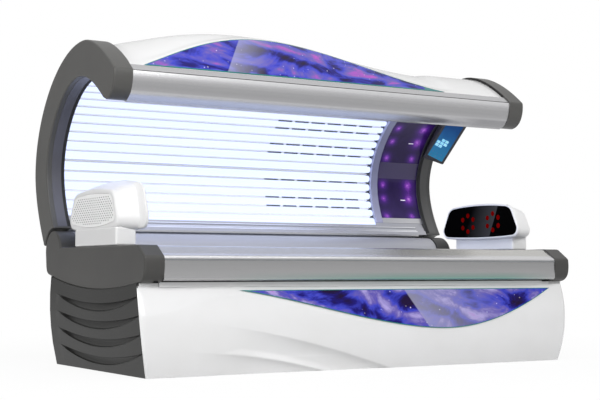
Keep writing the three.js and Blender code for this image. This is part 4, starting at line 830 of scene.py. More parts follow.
# The two prints on their surfaces, with a teal rim
NIGHT, NAVY, BLUE = (0.012, 0.004, 0.035), (0.012, 0.008, 0.16), (0.05, 0.06, 0.52)
VIOLET, MAGENTA, LAVENDER = (0.14, 0.11, 0.42), (0.48, 0.08, 0.52), (0.42, 0.36, 0.70)
CANOPY_STOPS = [(0.33, NIGHT), (0.41, NAVY), (0.50, BLUE), (0.61, VIOLET), (0.72, MAGENTA), (0.79, LAVENDER)]
SKIRT_STOPS = [(0.32, NIGHT), (0.40, NAVY), (0.49, BLUE), (0.57, VIOLET), (0.67, LAVENDER), (0.77, MAGENTA)]
CANOPY_ART = print_look("printed_acrylic", CANOPY_STOPS, (0.35, 0.1, 0.2),
                        (0.858, -0.402, -0.319), -0.766, 0.17)
SKIRT_ART = print_look("printed_acrylic_skirt", SKIRT_STOPS, (0.8, 0.3, 0.6),
                       (0.674, -0.478, 0.563), 0.569, 0.34)
CANOPY_PRINTED_X, SKIRT_PRINTED_X = (-2.0, 0.535), (-0.632, 2.0)


def canopy_leaf(lift):
    def face(i, j):
        x = leaf_x(i, CANOPY_LEAF)
        height = CANOPY_PRINT_HEIGHT * leaf_swell(x, *CANOPY_LEAF)
        z = PRINT_FOOT + height * leaf_share(j, height)
        distance = halved(COVER_STOP - BROW_FRONT, COVER_STOP + 20,
                          lambda d: cover_point(x, d, SKIN_DEPTH)[2] > z)
        return on_canopy(*cover_point(x, distance, SKIN_DEPTH - PRINT_FIT - lift))
    return face


def skirt_leaf(lift):
    def face(i, j):
        x = leaf_x(i, SKIRT_LEAF)
        height = SKIRT_PRINT_DROP * leaf_swell(x, *SKIRT_LEAF)
        z = SKIRT_TOP - SKIRT_PRINT_MARGIN - height * leaf_share(j, height)
        return on_bench(x, front_at(z) - (PRINT_FIT + lift), z)
    return face


def leaf_kinds(points, faces, printed_x):
    """1 for the teal rim and tip of a leaf and 0 for its print."""
    kinds = []
    for k, face in enumerate(faces):
        middle = sum(points[corner].x for corner in face) / 4
        at_rim = k >= 2 * LEAF_COLUMNS * LEAF_ROWS or (k // 2) % LEAF_ROWS in (0, LEAF_ROWS - 1)
        kinds.append(0 if printed_x[0] < middle < printed_x[1] and not at_rim else 1)
    return kinds


for name, leaf, art, printed_x, body in (
        ("canopy_print", canopy_leaf, CANOPY_ART, CANOPY_PRINTED_X, "canopy"),
        ("skirt_print", skirt_leaf, SKIRT_ART, SKIRT_PRINTED_X, "base")):
    shape = sheet(leaf(PRINT_THICK), leaf(0.0), LEAF_COLUMNS, LEAF_ROWS)
    add_piece(name, shape, [art, TEAL], body, "printed_acrylic", node=f"{name}_panel",
              kinds=leaf_kinds(*shape, printed_x))

# Head panel with the glow of its lamps painted on as emission
HEAD_X = HEAD_START + BAND_WIDTH + 0.3
HEAD_FOOT = 108.0
HEAD_DEPTHS = (SKIN_DEPTH, SKIN_DEPTH + WALL)
GLOW_COLUMNS, GLOW_ROWS = (783.0, 945.0), ((605.0, 521.0, 426.0), (287.0, 214.0, 118.0))
GLOW_REACH, WIDE_GLOW, NARROW_GLOW = 0.07, 1.25, 0.85
spots = []
for rows in GLOW_ROWS:
    for k, distance in enumerate(rows):
        for x in GLOW_COLUMNS:
            share = WIDE_GLOW if x == GLOW_COLUMNS[1] and k < 2 else NARROW_GLOW
            spots.append((on_canopy(x, *liner_at(distance, SKIN_DEPTH)), GLOW_REACH * share))
shape = strip(liner_at, HEAD_X, SKIN_END, *HEAD_DEPTHS, HEAD_FOOT, LINER_STOP, 48)
add_piece("head_panel_acrylic", shape, violet_look(spots), "canopy", "violet_acrylic", node="head_panel")
PLAIN_STRIP = (318.0, 402.0)
STRIP_LOOK = moulded("violet_strip", (0.052, 0.034, 0.115), (0.064, 0.044, 0.135), 0.3, 500, 0.04)
shape = strip(liner_at, HEAD_X + 2, SKIN_END - 2, SKIN_DEPTH - 1.2, SKIN_DEPTH - 0.2, *PLAIN_STRIP, 8)
add_piece("head_plain_strip", shape, STRIP_LOOK, "canopy", "violet_acrylic")
PLATE_LOOK = metal("foot_plate", (0.55, 0.55, 0.57), (0.62, 0.62, 0.64), 0.4)
shape = strip(liner_at, HEAD_X, SKIN_END, *HEAD_DEPTHS, LINER_START, HEAD_FOOT - 1, 4)
add_piece("head_foot_plate", shape, PLATE_LOOK, "canopy", "aluminium")
MARK_LOOK = glow_look("status_light", (0.85, 0.8, 0.95), (1.0, 0.97, 1.0), 0.35)
MARK_X, MARK_HALF, MARK_RISE = 906.0, 15.0, 2.4
for name, distance in (("upper", 515.0), ("lower", 208.0)):
    shape = strip(liner_at, MARK_X - MARK_HALF, MARK_X + MARK_HALF, SKIN_DEPTH - 2.5, SKIN_DEPTH - 0.2,
                  distance - MARK_RISE, distance + MARK_RISE, 2)
    rounded(add_piece(f"{name}_status_light", shape, MARK_LOOK, "canopy", "violet_acrylic"), 1.0)

# Lamps with domed ends
LAMP_SIDES = 20
DOME = ((0.0, 1.0), (0.35, 0.97), (0.65, 0.86), (0.88, 0.62), (1.0, 0.3))
DOME_LENGTH = 11.0
LAMP_LEFT, LAMP_RIGHT = -993.4, HEAD_START - 0.3
SINGLE_LAMPS = 5
lamp_line = Line([liner_at(d, LAMP_DEPTH) for d in steps(LINER_START, LINER_STOP, 240)])
LAMP_COUNT = int((lamp_line.length - 2 * LAMP_RADIUS - WIDE_GAP) // LAMP_PITCH) + 1


def lamp_tube(x0, x1, y, z, place):
    stations = [(x0 + DOME_LENGTH * (1 - reach), LAMP_RADIUS * width) for reach, width in reversed(DOME)]
    stations += [(x1 - DOME_LENGTH * (1 - reach), LAMP_RADIUS * width) for reach, width in DOME]
    return turned(stations, y, z, LAMP_SIDES, place)


def lamp_centre(index):
    return lamp_line.at(LAMP_RADIUS + index * LAMP_PITCH + (0 if index < WIDE_GAP_AFTER else WIDE_GAP))


tubes = [lamp_tube(LAMP_LEFT, LAMP_RIGHT, *lamp_centre(k), on_canopy) for k in range(LAMP_COUNT)]
for index in range(SINGLE_LAMPS):
    add_piece(f"lamp_tube_{index + 1}", tubes[index], LAMP, "canopy", "lamp_glass", 50,
              f"canopy_lamp_{index + 1}")
add_piece("roof_lamp_tubes", joined(tubes[SINGLE_LAMPS:]), LAMP, "canopy", "lamp_glass", 50, "roof_lamp_bank")

# Black sockets behind the right ends of the lamps, ribs between them and dark slots on some ribs
SOCKET_LENGTH = 22
RIB_HALF, RIB_REACH = 2.6, (-6.0, 13.0)
SLOT_HALF, SLOT_REACH = 3.4, (11.0, 14.5)
SLOT_GAPS = (2, 3, 5, 8, 9, 11, 12, 14, 15)
SLOT_START, SLOT_PITCH, SLOT_LENGTH, SLOT_COUNT = 68.0, 96.0, 78.0, 6
SLOT_LOOK = moulded("vent_slot", (0.02, 0.02, 0.025), (0.035, 0.035, 0.04), 0.5, 300, 0.1)
shape = strip(liner_at, HEAD_START - SOCKET_LENGTH, HEAD_START - 0.5, LAMP_DEPTH - 8, LAMP_DEPTH + 6,
              LINER_START, LINER_STOP, 48)
add_piece("lamp_socket_strip", shape, BLACK, "canopy", "black_plastic")


def gap_bar(gap, half, back, front):
    """Section of a bar between two lamps, from back to front of the line through the lamps."""
    (y0, z0), (y1, z1) = lamp_centre(gap - 1), lamp_centre(gap)
    run = math.dist((y0, z0), (y1, z1))
    ry, rz = (y1 - y0) / run, (z1 - z0) / run
    my, mz = (y0 + y1) / 2, (z0 + z1) / 2
    return [(my + a * half * ry - b * rz, mz + a * half * rz + b * ry)
            for a, b in ((-1, back), (1, back), (1, front), (-1, front))]


ribs = [prism(gap_bar(gap, RIB_HALF, *RIB_REACH), LAMP_LEFT, LAMP_RIGHT - SOCKET_LENGTH, on_canopy)
        for gap in range(1, LAMP_COUNT)]
add_piece("lamp_ribs", joined(ribs), RIB, "canopy", "reflector")
slot_places = [SLOT_START + k * SLOT_PITCH for k in range(SLOT_COUNT)]
slots = [prism(gap_bar(gap, SLOT_HALF, *SLOT_REACH), x, x + SLOT_LENGTH, on_canopy)
         for gap in SLOT_GAPS for x in slot_places]
add_piece("vent_slots", joined(slots), SLOT_LOOK, "canopy", "black_plastic")

# Bench lamps, under the dished acrylic
BENCH_LAMP_HALF, BENCH_LAMP_PITCH, BENCH_LAMP_DEPTH = 879.7, 46.0, 26.0
DISH_FRONT, DISH_REAR, DISH_RIM, DISH_SAG = RAIL_REAR + 0.3, -100.3, 9, 57
BENCH_LAMP = lamp_look("bench_lamp_glass", 0.75)


def dish_at(t, depth):
    sag = 4 * DISH_SAG * t * (1 - t)
    return (DISH_FRONT + (DISH_REAR - DISH_FRONT) * t, BENCH_TOP - DISH_RIM - sag - depth)


dish_line = Line([dish_at(t, BENCH_LAMP_DEPTH) for t in steps(0, 1, 200)])
bench_count = int((dish_line.length - 3 * LAMP_RADIUS) // BENCH_LAMP_PITCH) + 1
slack = (dish_line.length - (bench_count - 1) * BENCH_LAMP_PITCH) / 2
tubes = [lamp_tube(-BENCH_LAMP_HALF, BENCH_LAMP_HALF, *dish_line.at(slack + k * BENCH_LAMP_PITCH), on_bench)
         for k in range(bench_count)]
add_piece("bench_lamp_tubes", joined(tubes), BENCH_LAMP, "base", "lamp_glass", 50, "bench_lamp_bank")

# Bench caps, round about the hinge at the rear
CAP_FACE_TOP, CAP_FACE_BOTTOM = BENCH_TOP - 46, BENCH_TOP - 110
CAP_CHIN = (BENCH_FRONT + 76, CAP_FACE_BOTTOM - 42)
KNUCKLE, KNUCKLE_FLAT = 92, BENCH_TOP - HINGE_Z
CAP_ROUND = 8.0
CAP_LIP_REAR, CAP_LIP_IN, CAP_LIP_OVER = -112, 22, 4


def cap_outline():
    outline = [(-math.sqrt(KNUCKLE ** 2 - KNUCKLE_FLAT ** 2), BENCH_TOP), (BENCH_FRONT + 72, BENCH_TOP)]
    outline += bezier((BENCH_FRONT + 4, CAP_FACE_TOP), (BENCH_FRONT - 1, CAP_FACE_TOP - 21),
                      (BENCH_FRONT - 1, CAP_FACE_BOTTOM + 21), (BENCH_FRONT + 4, CAP_FACE_BOTTOM), 8)
    outline += quadratic(outline[-1], (BENCH_FRONT + 15, CAP_CHIN[1]), CAP_CHIN, 10)[1:]
    outline += quadratic(CAP_CHIN, (-430, BENCH_TOP - 221), (52, BENCH_TOP - 119), 28)[1:]
    outline += quadratic(outline[-1], (83, BENCH_TOP - 113), (86, BENCH_TOP - 70), 8)[1:]
    outline.append((KNUCKLE, HINGE_Z))
    turns = steps(0, math.pi - math.asin(KNUCKLE_FLAT / KNUCKLE), 28)[1:-1]
    outline += [(KNUCKLE * math.cos(a), HINGE_Z + KNUCKLE * math.sin(a)) for a in turns]
    return outline


for side_name, side in SIDES.items():
    shape = prism(cap_outline(), side * ARCH_IN, side * ARCH_OUT, on_bench)
    cap = add_piece(f"{side_name}_cap_moulding", shape, CAP_GREY, "base", "grey_plastic", 30,
                    f"bench_{side_name}_cap")
    rounded_outside(cap, CAP_ROUND, 24)
    shape = box(side * (ARCH_IN - CAP_LIP_IN), side * (ARCH_IN + CAP_LIP_OVER), RAIL_REAR, CAP_LIP_REAR,
                BENCH_TOP - 6, BENCH_TOP - 0.5)
    rounded(add_piece(f"{side_name}_cap_lip", shape, CAP_GREY, "base", "grey_plastic"), 1.5)

# Skirt with its moulded sweeps
RIDGE = ((-1100, 232), (-1067, 238), (-943, 259), (-827, 292), (-725, 323))
RIDGE_GAPS, GAP_FADE = (25.0, 6.0), (-725, 1400)
RIDGE_LEAN, RIDGE_DEPTH, RIDGE_SHALLOW = 0.085, 11.0, 5.0
RIDGE_FADE, RIDGE_END = (-760, 160), (1060, -200)
UPPER_SWEEP = (-832.0, 213.0, 0.128, 0.0001147)
LOWER_SWEEP = (-901.0, 96.0, 0.03, 0.00018)
UPPER_FADE, LOWER_FADE = (-832.0, 560), (-901.0, 420)
SWEEP_DEPTH, SWEEP_SOFT = 32.0, 38.0
LOWER_SHARE, LOWER_SOFT = 0.6, 22
CRESCENT, CRESCENT_LEAST, CRESCENT_FADE = 30.0, 6.0, (-760, 120)
BACK_SHARE, BACK_FADE = 0.8, (-790, 140)
FRAME_FOOT, FRAME_TOP, FRAME_SETBACK = 20.0, 62.0, 19.0
SKIRT_FOOT = 1.0
SKIRT_SPANS, SKIRT_TURNS, SKIRT_ROWS = 250, 10, 116
CORNER_BACK = {"left": 9.0, "right": 30.0}
LEFT_CORNER, LEFT_CORNER_GROWTH, LEFT_CORNER_FADE = 5.0, 25.0, (SKIRT_BOTTOM, 230)


def ridge_at(x):
    """Height of the crease over the skirt, which follows the edge of the print with a gap."""
    if x < RIDGE[-1][0]:
        for (x0, z0), (x1, z1) in zip(RIDGE, RIDGE[1:]):
            if x <= x1:
                return z0 + (z1 - z0) * max(0.0, x - x0) / (x1 - x0)
    gap = RIDGE_GAPS[0] + (RIDGE_GAPS[1] - RIDGE_GAPS[0]) * fade(x, *GAP_FADE)
    return SKIRT_TOP - SKIRT_PRINT_MARGIN - SKIRT_PRINT_DROP * leaf_swell(x, *SKIRT_LEAF) - gap


def sweep_line(x, sweep):
    run = x - sweep[0]
    return sweep[1] - sweep[2] * run - sweep[3] * run * run


def relief(x, z):
    """How far the skirt's face lies behind its plain bulge."""
    lean = RIDGE_DEPTH - (RIDGE_DEPTH - RIDGE_SHALLOW) * fade(x, *RIDGE_FADE)
    depth = min(lean, max(0.0, (z - ridge_at(x)) * RIDGE_LEAN)) * fade(x, *RIDGE_END)
    upper, lower = sweep_line(x, UPPER_SWEEP), sweep_line(x, LOWER_SWEEP)
    if z < upper:
        cove = SWEEP_DEPTH * fade(x, *UPPER_FADE) * (1 - math.exp(-(upper - z) / SWEEP_SOFT))
        crest = lower + CRESCENT * fade(x, *CRESCENT_FADE)
        back = smooth((crest - z) / max(CRESCENT_LEAST, crest - lower)) if z > lower else 1.0
        cove *= 1 - BACK_SHARE * back * fade(x, *BACK_FADE)
        if z < lower:
            grown = SWEEP_DEPTH * fade(x, *LOWER_FADE)
            cove += LOWER_SHARE * grown * (1 - math.exp(-(lower - z) / LOWER_SOFT))
        depth += cove
    room = front_at(FRAME_FOOT) + FRAME_SETBACK - front_at(min(z, FRAME_TOP)) + max(0.0, z - FRAME_TOP)
    return room * math.tanh(depth / room)


def corner_width(z):
    """Width of the rolled left edge of the skirt: broad at the top and narrow at the floor."""
    return LEFT_CORNER + LEFT_CORNER_GROWTH * fade(z, *LEFT_CORNER_FADE)


def skirt_surface(depth):
    def face(i, j):
        z = SKIRT_FOOT + (SKIRT_TOP - SKIRT_FOOT) * j / SKIRT_ROWS
        left, right = half_length_at(z) - corner_width(z), half_length_at(z) - SKIRT_CORNER
        middle = min(SKIRT_SPANS, max(0, i - SKIRT_TURNS))
        x = -left + (left + right) * middle / SKIRT_SPANS
        turn = i - SKIRT_TURNS if i < SKIRT_TURNS else max(0, i - SKIRT_TURNS - SKIRT_SPANS)
        angle = turn / SKIRT_TURNS * math.pi / 2
        across = corner_width(z) if turn < 0 else SKIRT_CORNER
        back = CORNER_BACK["left" if turn < 0 else "right"]
        y = front_at(z) + back - (back - depth) * math.cos(angle)
        return on_bench(x + (across - depth) * math.sin(angle), y + relief(x, z) * math.cos(angle), z)
    return face


shape = sheet(skirt_surface(0.0), skirt_surface(WALL), SKIRT_SPANS + 2 * SKIRT_TURNS, SKIRT_ROWS)
add_piece("skirt_moulding", shape, WHITE, "base", "white_gloss", 60, "front_skirt")

# End panels with crescent gills
GILLS, GILL_PITCH, GILL_TOP = 4, 73.0, 317.0
GILL_UPPER_SAG, GILL_LOWER_SAG = 34.0, 66.0
GILL_REAR, GILL_FRONT = -84.0, BENCH_FRONT + 60
GILL_DEPTH, GILL_FRONT_SHARE = 15.0, 0.3
GILL_REAR_FADE, GILL_FRONT_FADE = (GILL_REAR, -90), (GILL_FRONT - 40, 420)
REAR_PANEL_Y = 6.0
PANEL_SEAM = 1.9
GILL_ROWS = ((0.0, 0.0), (0.04, 1.0), (0.25, 0.92), (0.5, 0.74), (0.7, 0.52), (0.83, 0.32), (0.94, -0.26),
             (1.0, 0.0))
END_ROWS = [("hidden", 0, 0.0, 0.0), ("top", 0, 0.0, 0.0)]
END_ROWS += [("gill", gill, share, depth) for gill in range(GILLS) for share, depth in GILL_ROWS]
END_ROWS.append(("bottom", 0, 0.0, 0.0))
END_COLUMNS = 56
cap_lower = [p for p in cap_outline() if p[1] < BENCH_TOP - 112 and p[0] < 60]


def under_cap(y):
    best = SKIRT_TOP
    for (y0, z0), (y1, z1) in zip(cap_lower, cap_lower[1:]):
        if y0 <= y < y1:
            best = z0 + (z1 - z0) * (y - y0) / (y1 - y0)
    return best


def gill_bow(y):
    centre, half = (GILL_REAR + GILL_FRONT) / 2, (GILL_REAR - GILL_FRONT) / 2
    return max(0.0, 1 - ((y - centre) / half) ** 2)


def gill_depth(y):
    front = GILL_FRONT_SHARE + (1 - GILL_FRONT_SHARE) * fade(y, *GILL_FRONT_FADE)
    return GILL_DEPTH * fade(y, *GILL_REAR_FADE) * front


def end_height(kind, gill, share, y):
    """Height of a row of the end panel at y."""
    if kind == "top":
        return under_cap(y) + 1
    if kind == "bottom":
        return SKIRT_FOOT
    bow = gill_bow(y)
    upper = GILL_TOP - gill * GILL_PITCH - GILL_UPPER_SAG * bow
    lower = GILL_TOP - gill * GILL_PITCH - GILL_LOWER_SAG * bow - 3
    return upper + (lower - upper) * share


def end_surface(side_name, depth):
    side, corner = SIDES[side_name], CORNER_BACK[side_name]
    front_edge = BENCH_FRONT + FRONT_SETBACKS[2] + corner + PANEL_SEAM

    def face(i, j):
        kind, gill, share, sunk = END_ROWS[j]
        guess = front_edge + (REAR_PANEL_Y - front_edge) * i / END_COLUMNS
        if kind == "hidden":
            return on_bench(side * (ARCH_OUT - 8 - depth), guess, under_cap(guess) + 6)
        z = end_height(kind, gill, share, guess)
        start = front_edge if kind == "top" else front_at(z) + corner + PANEL_SEAM
        y = start + (REAR_PANEL_Y - start) * i / END_COLUMNS
        return on_bench(side * (half_length_at(z) - depth - sunk * gill_depth(guess)), y, z)
    return face


for side_name in SIDES:
    shape = sheet(end_surface(side_name, 0.0), end_surface(side_name, WALL), END_COLUMNS, len(END_ROWS) - 1)
    add_piece(f"{side_name}_end_panel_moulding", shape, PANEL, "base", "grey_plastic", 30,
              f"base_{side_name}_end_panel")

# Pods, as rings along X: the window bezel, the body behind it and the speaker face
POD_INNER, POD_OUTER = 962.0, 1080.0
BEZEL_ROUND, BEZEL_BACK, BODY_START, FACE_ROUND = 8.0, 977.0, 989.0, 16.0
WINDOW_BORDER, GRILLE_BORDER = 9.0, 24.0
BODY_SHARES, POD_EASE = (0.0, 0.12, 0.4, 0.7, 1.0), 1.8
POD_CROWN, POD_SHOULDER, POD_CORNER = 0.16, 0.83, 0.84
PEDESTAL_HALF = 222.0
POD_SHAPES = {
    "left": ((287, 287, 68, 278, 6), (250, 268, 64, 272, 8), (232, 290, 72, 244, 16)),
    "right": ((292, 292, 62, 233, 6), (268, 268, 59, 224, 6), (255, 262, 62, 208, 8)),
}


def pod_ring(shape, draw):
    """Ring of a pod from its front and rear reach, bottom, top and the bow of its underside, drawn in."""
    front, rear, bottom, top, bow = shape
    z0, z1 = bottom + draw, top - draw
    crown = (z1 - z0) * POD_CROWN
    halves = []
    for sign, reach in ((1, rear - draw), (-1, front - draw)):
        upper = reach * POD_SHOULDER
        corner = quadratic((sign * reach * POD_CORNER, z0), (sign * reach, z0),
                           (sign * reach, z0 + crown * 1.6), 8)
        shoulder = quadratic((sign * (upper + crown * 0.5), z1 - crown * 1.8),
                             (sign * upper, z1 - crown * 0.5),
                             (sign * (upper - crown * 2), z1 - crown * 0.4), 8)
        halves.append(corner + shoulder)
    rear_side, front_side = halves
    middle = (rear_side[-1][0] + front_side[-1][0]) / 2
    brow_line = quadratic(rear_side[-1], (middle, z1 + crown * 0.3), front_side[-1], 16)[1:-1]
    under = quadratic(front_side[0], (middle, z0 - 2 * bow), rear_side[0], 12)[1:-1]
    return [(POD_Y + y, BENCH_TOP + z) for y, z in rear_side + brow_line + front_side[::-1] + under]


def through_rings(side, stations):
    return loft([[on_bench(side * x, y, z) for y, z in ring] for x, ring in stations])


def pod_shell(side, bezel, body, face):
    stations = [(POD_INNER + 4, pod_ring(bezel, WINDOW_BORDER + 0.4)),
                (POD_INNER + 0.6, pod_ring(bezel, WINDOW_BORDER))]
    for a in steps(math.pi / 2, 0, 6):
        ring = pod_ring(bezel, BEZEL_ROUND * (1 - math.cos(a)))
        stations.append((POD_INNER + BEZEL_ROUND * (1 - math.sin(a)), ring))
    stations.append((BEZEL_BACK, pod_ring(bezel, 0)))
    for t in BODY_SHARES:
        x = BODY_START + (POD_OUTER - FACE_ROUND - BODY_START) * t
        stations.append((x, pod_ring(between(body, face, t ** POD_EASE), 0)))
    for a in steps(0, math.pi / 2, 6)[1:]:
        ring = pod_ring(face, FACE_ROUND * (1 - math.cos(a)))
        stations.append((POD_OUTER - FACE_ROUND * (1 - math.sin(a)), ring))
    stations += [(POD_OUTER, pod_ring(face, GRILLE_BORDER - 1)),
                 (POD_OUTER - 3.5, pod_ring(face, GRILLE_BORDER - 0.6))]
    return through_rings(side, stations)


def pod_glass(side, bezel):
    return through_rings(side, [(POD_INNER + place, pod_ring(bezel, WINDOW_BORDER + draw))
                                for place, draw in ((3.5, 0.8), (0.8, 0.8), (0.1, 2.5))])


# Grille with real holes in a staggered pattern
HOLE_PITCH, HOLE_ROW, HOLE_SIDES, HOLE_MARGIN = 23.0, 9.6, 10, 10.0
HOLE_REACH = (6.4, 3.0)


def distance_to(a, b, p):
    run = (b[0] - a[0], b[1] - a[1])
    size = run[0] ** 2 + run[1] ** 2
    t = 0 if size == 0 else min(1, max(0, ((p[0] - a[0]) * run[0] + (p[1] - a[1]) * run[1]) / size))
    return math.dist((a[0] + run[0] * t, a[1] + run[1] * t), p)


def inside(ring, y, z, margin):
    least = min(distance_to(ring[k - 1], ring[k], (y, z)) for k in range(len(ring)))
    crossings = 0
    for (y0, z0), (y1, z1) in zip(ring, ring[1:] + ring[:1]):
        if (z0 > z) != (z1 > z) and y < y0 + (y1 - y0) * (z - z0) / (z1 - z0):
            crossings += 1
    return crossings % 2 == 1 and least > margin


def hole_places(ring):
    (left, right), (low, high) = ((min(values), max(values)) for values in zip(*ring))
    for r in range(int((high - low) / HOLE_ROW) + 1):
        for c in range(int((right - left) / HOLE_PITCH) + 1):
            y, z = left + HOLE_PITCH * (c + (0.5 if r % 2 else 0.0)), low + HOLE_ROW * (r + 0.5)
            if inside(ring, y, z, HOLE_MARGIN):
                yield y, z


def perforated(ring, x0, x1):
    flat = [Vector(p) for p in ring]
    loops = [list(range(len(ring)))]
    turns = [2 * math.pi * k / HOLE_SIDES for k in range(HOLE_SIDES)]
    for y, z in hole_places(ring):
        loops.append(list(range(len(flat), len(flat) + HOLE_SIDES))[::-1])
        flat += [Vector((y + HOLE_REACH[0] * math.cos(a), z + HOLE_REACH[1] * math.sin(a))) for a in turns]
    edges = [(loop[k - 1], loop[k]) for loop in loops for k in range(len(loop))]
    points, _, triangles, _, _, _ = delaunay_2d_cdt(flat, edges, [], 1, 1e-4)
    owner = {k: n for n, loop in enumerate(loops[1:]) for k in loop}
    solid = [t for t in triangles if not (all(k in owner for k in t) and len({owner[k] for k in t}) == 1)]
    count = len(points)
    faces = [tuple(t) for t in solid] + [tuple(k + count for k in reversed(t)) for t in solid]
    for loop in loops:
        faces += [(loop[k - 1], loop[k], loop[k] + count, loop[k - 1] + count) for k in range(len(loop))]
    return [on_bench(x, p.x, p.y) for x in (x0, x1) for p in points], faces


# Red lights in two rings of six behind each window
LED_LOOK = glow_look("red_light", (0.055, 0.0, 0.0), (0.085, 0.0005, 0.0005), 1.0, 60, 0.0)
LED_RADIUS, LED_SIDES, LED_COUNT = 12.0, 20, 6
LED_RINGS = {"right": ((-387.0, 136.0), (-580.0, 140.0)), "left": ((-379.0, 178.0), (-567.0, 178.0))}
LED_SPREAD = (47.0, 40.0)
LED_SECTION = ((1, 1.0), (-0.4, 1.0), (-1.2, 0.8), (-1.6, 0.4))


def red_lights(side_name):
    stations = [(SIDES[side_name] * (POD_INNER + place), LED_RADIUS * share) for place, share in LED_SECTION]
    lights = []
    for y, z in LED_RINGS[side_name]:
        for k in range(LED_COUNT):
            a = math.pi / 6 + k * math.pi / 3
            centre = (y + LED_SPREAD[0] * math.cos(a), BENCH_TOP + z + LED_SPREAD[1] * math.sin(a))
            lights.append(turned(stations, *centre, LED_SIDES, on_bench))
    return joined(lights)


GLASS = window_look((0.745, -0.607, -0.276), 0.666)
for side_name, side in SIDES.items():
    bezel, body, face = POD_SHAPES[side_name]
    pod = f"{side_name}_pod"
    shape = pod_shell(side, bezel, body, face)
    add_piece(f"{pod}_moulding", shape, [POD_WHITE, HOLE_GREY], "base", "white_gloss", 40, f"{pod}_shell",
              [0] * (len(shape[1]) - 2) + [1, 1])
    add_piece(f"{pod}_glass", pod_glass(side, bezel), GLASS, "base", "black_plastic", node=f"{pod}_window")
    shape = perforated(pod_ring(face, GRILLE_BORDER + 0.3), side * (POD_OUTER - 2.2), side * POD_OUTER)
    add_piece(f"{pod}_speaker_grille", shape, GRILLE_WHITE, "base", "white_gloss", 30, f"{pod}_grille")
    add_piece(f"{pod}_red_lights", red_lights(side_name), LED_LOOK, "base", "black_plastic", 50)
    shape = box(side * (ARCH_IN - 10), side * (ARCH_OUT - 5), POD_Y - PEDESTAL_HALF, POD_Y + PEDESTAL_HALF,
                BENCH_TOP + 0.3, BENCH_TOP + bezel[2] + 8)
    rounded(add_piece(f"{side_name}_pedestal_moulding", shape, WHITE, "base", "white_gloss",
                      node=f"{pod}_pedestal"), 9.0, 4)

# Display, on a leaning plane from one end to the other
DISPLAY_ENDS = ((465.0, -17.0), (715.0, -23.0))
DISPLAY_LEAN = Vector((0.787, -0.477, -0.389))
DISPLAY_LENGTH, DISPLAY_WIDTH, SCREEN_MARGIN = 278.0, 110.0, 13.0
TILE_LOOK = glow_look("screen_tile", (0.16, 0.48, 0.68), (0.36, 0.68, 0.80), 0.75, 90)
TILE_SIZE, TILE_STEP, TILE_START, TILE_GRID = 17.0, 20.0, (88.0, 17.0), 3
SKIPPED_TILES = ((0, 2), (2, 0))
DOT_LOOK = glow_look("screen_dot", (0.02, 0.09, 0.22), (0.03, 0.12, 0.26), 0.6, 90)
DOT_SIZE, DOT_ROWS, DOT_COLUMNS = 7, (24.0, 46.0), (22.0, 48.0, 72.0)
low_end, high_end = (liner_at(*place) for place in DISPLAY_ENDS)
corner = on_canopy(ARCH_IN, *low_end)
along = Vector((0, high_end[0] - low_end[0], high_end[1] - low_end[1])).normalized()
out = DISPLAY_LEAN.cross(along).normalized()
across = along.cross(out)


def display_block(a0, a1, b0, b1, lift0, lift1):
    return loft([[corner + (along * a + across * b + out * lift) / 1000
                  for a, b in ((a0, b0), (a1, b0), (a1, b1), (a0, b1))] for lift in (lift0, lift1)])


def screen_patch(a, b, size):
    return display_block(a, a + size, b, b + size, 0.6, 1.4)


dress("display_housing", GREY, 4.0)
shape = display_block(0, DISPLAY_LENGTH, 0, DISPLAY_WIDTH, -16, 0.2)
rounded(add_piece("display_bezel", shape, GREY, "canopy", "grey_plastic"), 3.0, 3)
shape = display_block(SCREEN_MARGIN, DISPLAY_LENGTH - SCREEN_MARGIN, SCREEN_MARGIN,
                      DISPLAY_WIDTH - SCREEN_MARGIN, -0.5, 1.0)
rounded(add_piece("display_glass", shape, screen_look(corner, along), "canopy", "screen",
                  node="display_screen"), 1.0)
tiles = [screen_patch(TILE_START[0] + r * TILE_STEP, TILE_START[1] + c * TILE_STEP, TILE_SIZE)
         for r in range(TILE_GRID) for c in range(TILE_GRID) if (r, c) not in SKIPPED_TILES]
add_piece("screen_tiles", joined(tiles), TILE_LOOK, "canopy", "screen")
dots = [screen_patch(a, b, DOT_SIZE) for a in DOT_ROWS for b in DOT_COLUMNS]
add_piece("screen_dots", joined(dots), DOT_LOOK, "canopy", "screen")

# Front rail of the canopy, with a groove between its lip and its nose, and a black strip in the groove as its
# painted shade
RAIL_DEPTH, GROOVE_DEPTH, FOOT_DROP = 5.0, 5, 9.0
GROOVE_SHADE_DEPTHS = (-0.4, 4.5)
lip_line = [outer_path.at(d) for d in steps(COVER_STOP + 0.3, outer_path.length - 4, 8)]
nose_line = bezier(NOSE, (-680, 694), (-660, 616), (CHIN[0], CHIN[1] - FOOT_DROP), 40)[1:] + [LINER_TIP]


def beside_line(line, depth):
    moved = []
    for k, (y, z) in enumerate(line):
        a, b = line[max(0, k - 1)], line[min(len(line) - 1, k + 1)]
        run = math.dist(a, b)
        moved.append((y - (b[1] - a[1]) / run * depth, z + (b[0] - a[0]) / run * depth))
    return moved


def rail_surface(depth):
    line = beside_line(lip_line, depth) + beside_line(lip_line, depth + GROOVE_DEPTH)[-1:]
    line += beside_line(nose_line, depth + GROOVE_DEPTH)[:1] + beside_line(nose_line, depth)
    return lambda i, j: on_canopy(SKIN_END if i else -SKIN_END, *line[j])


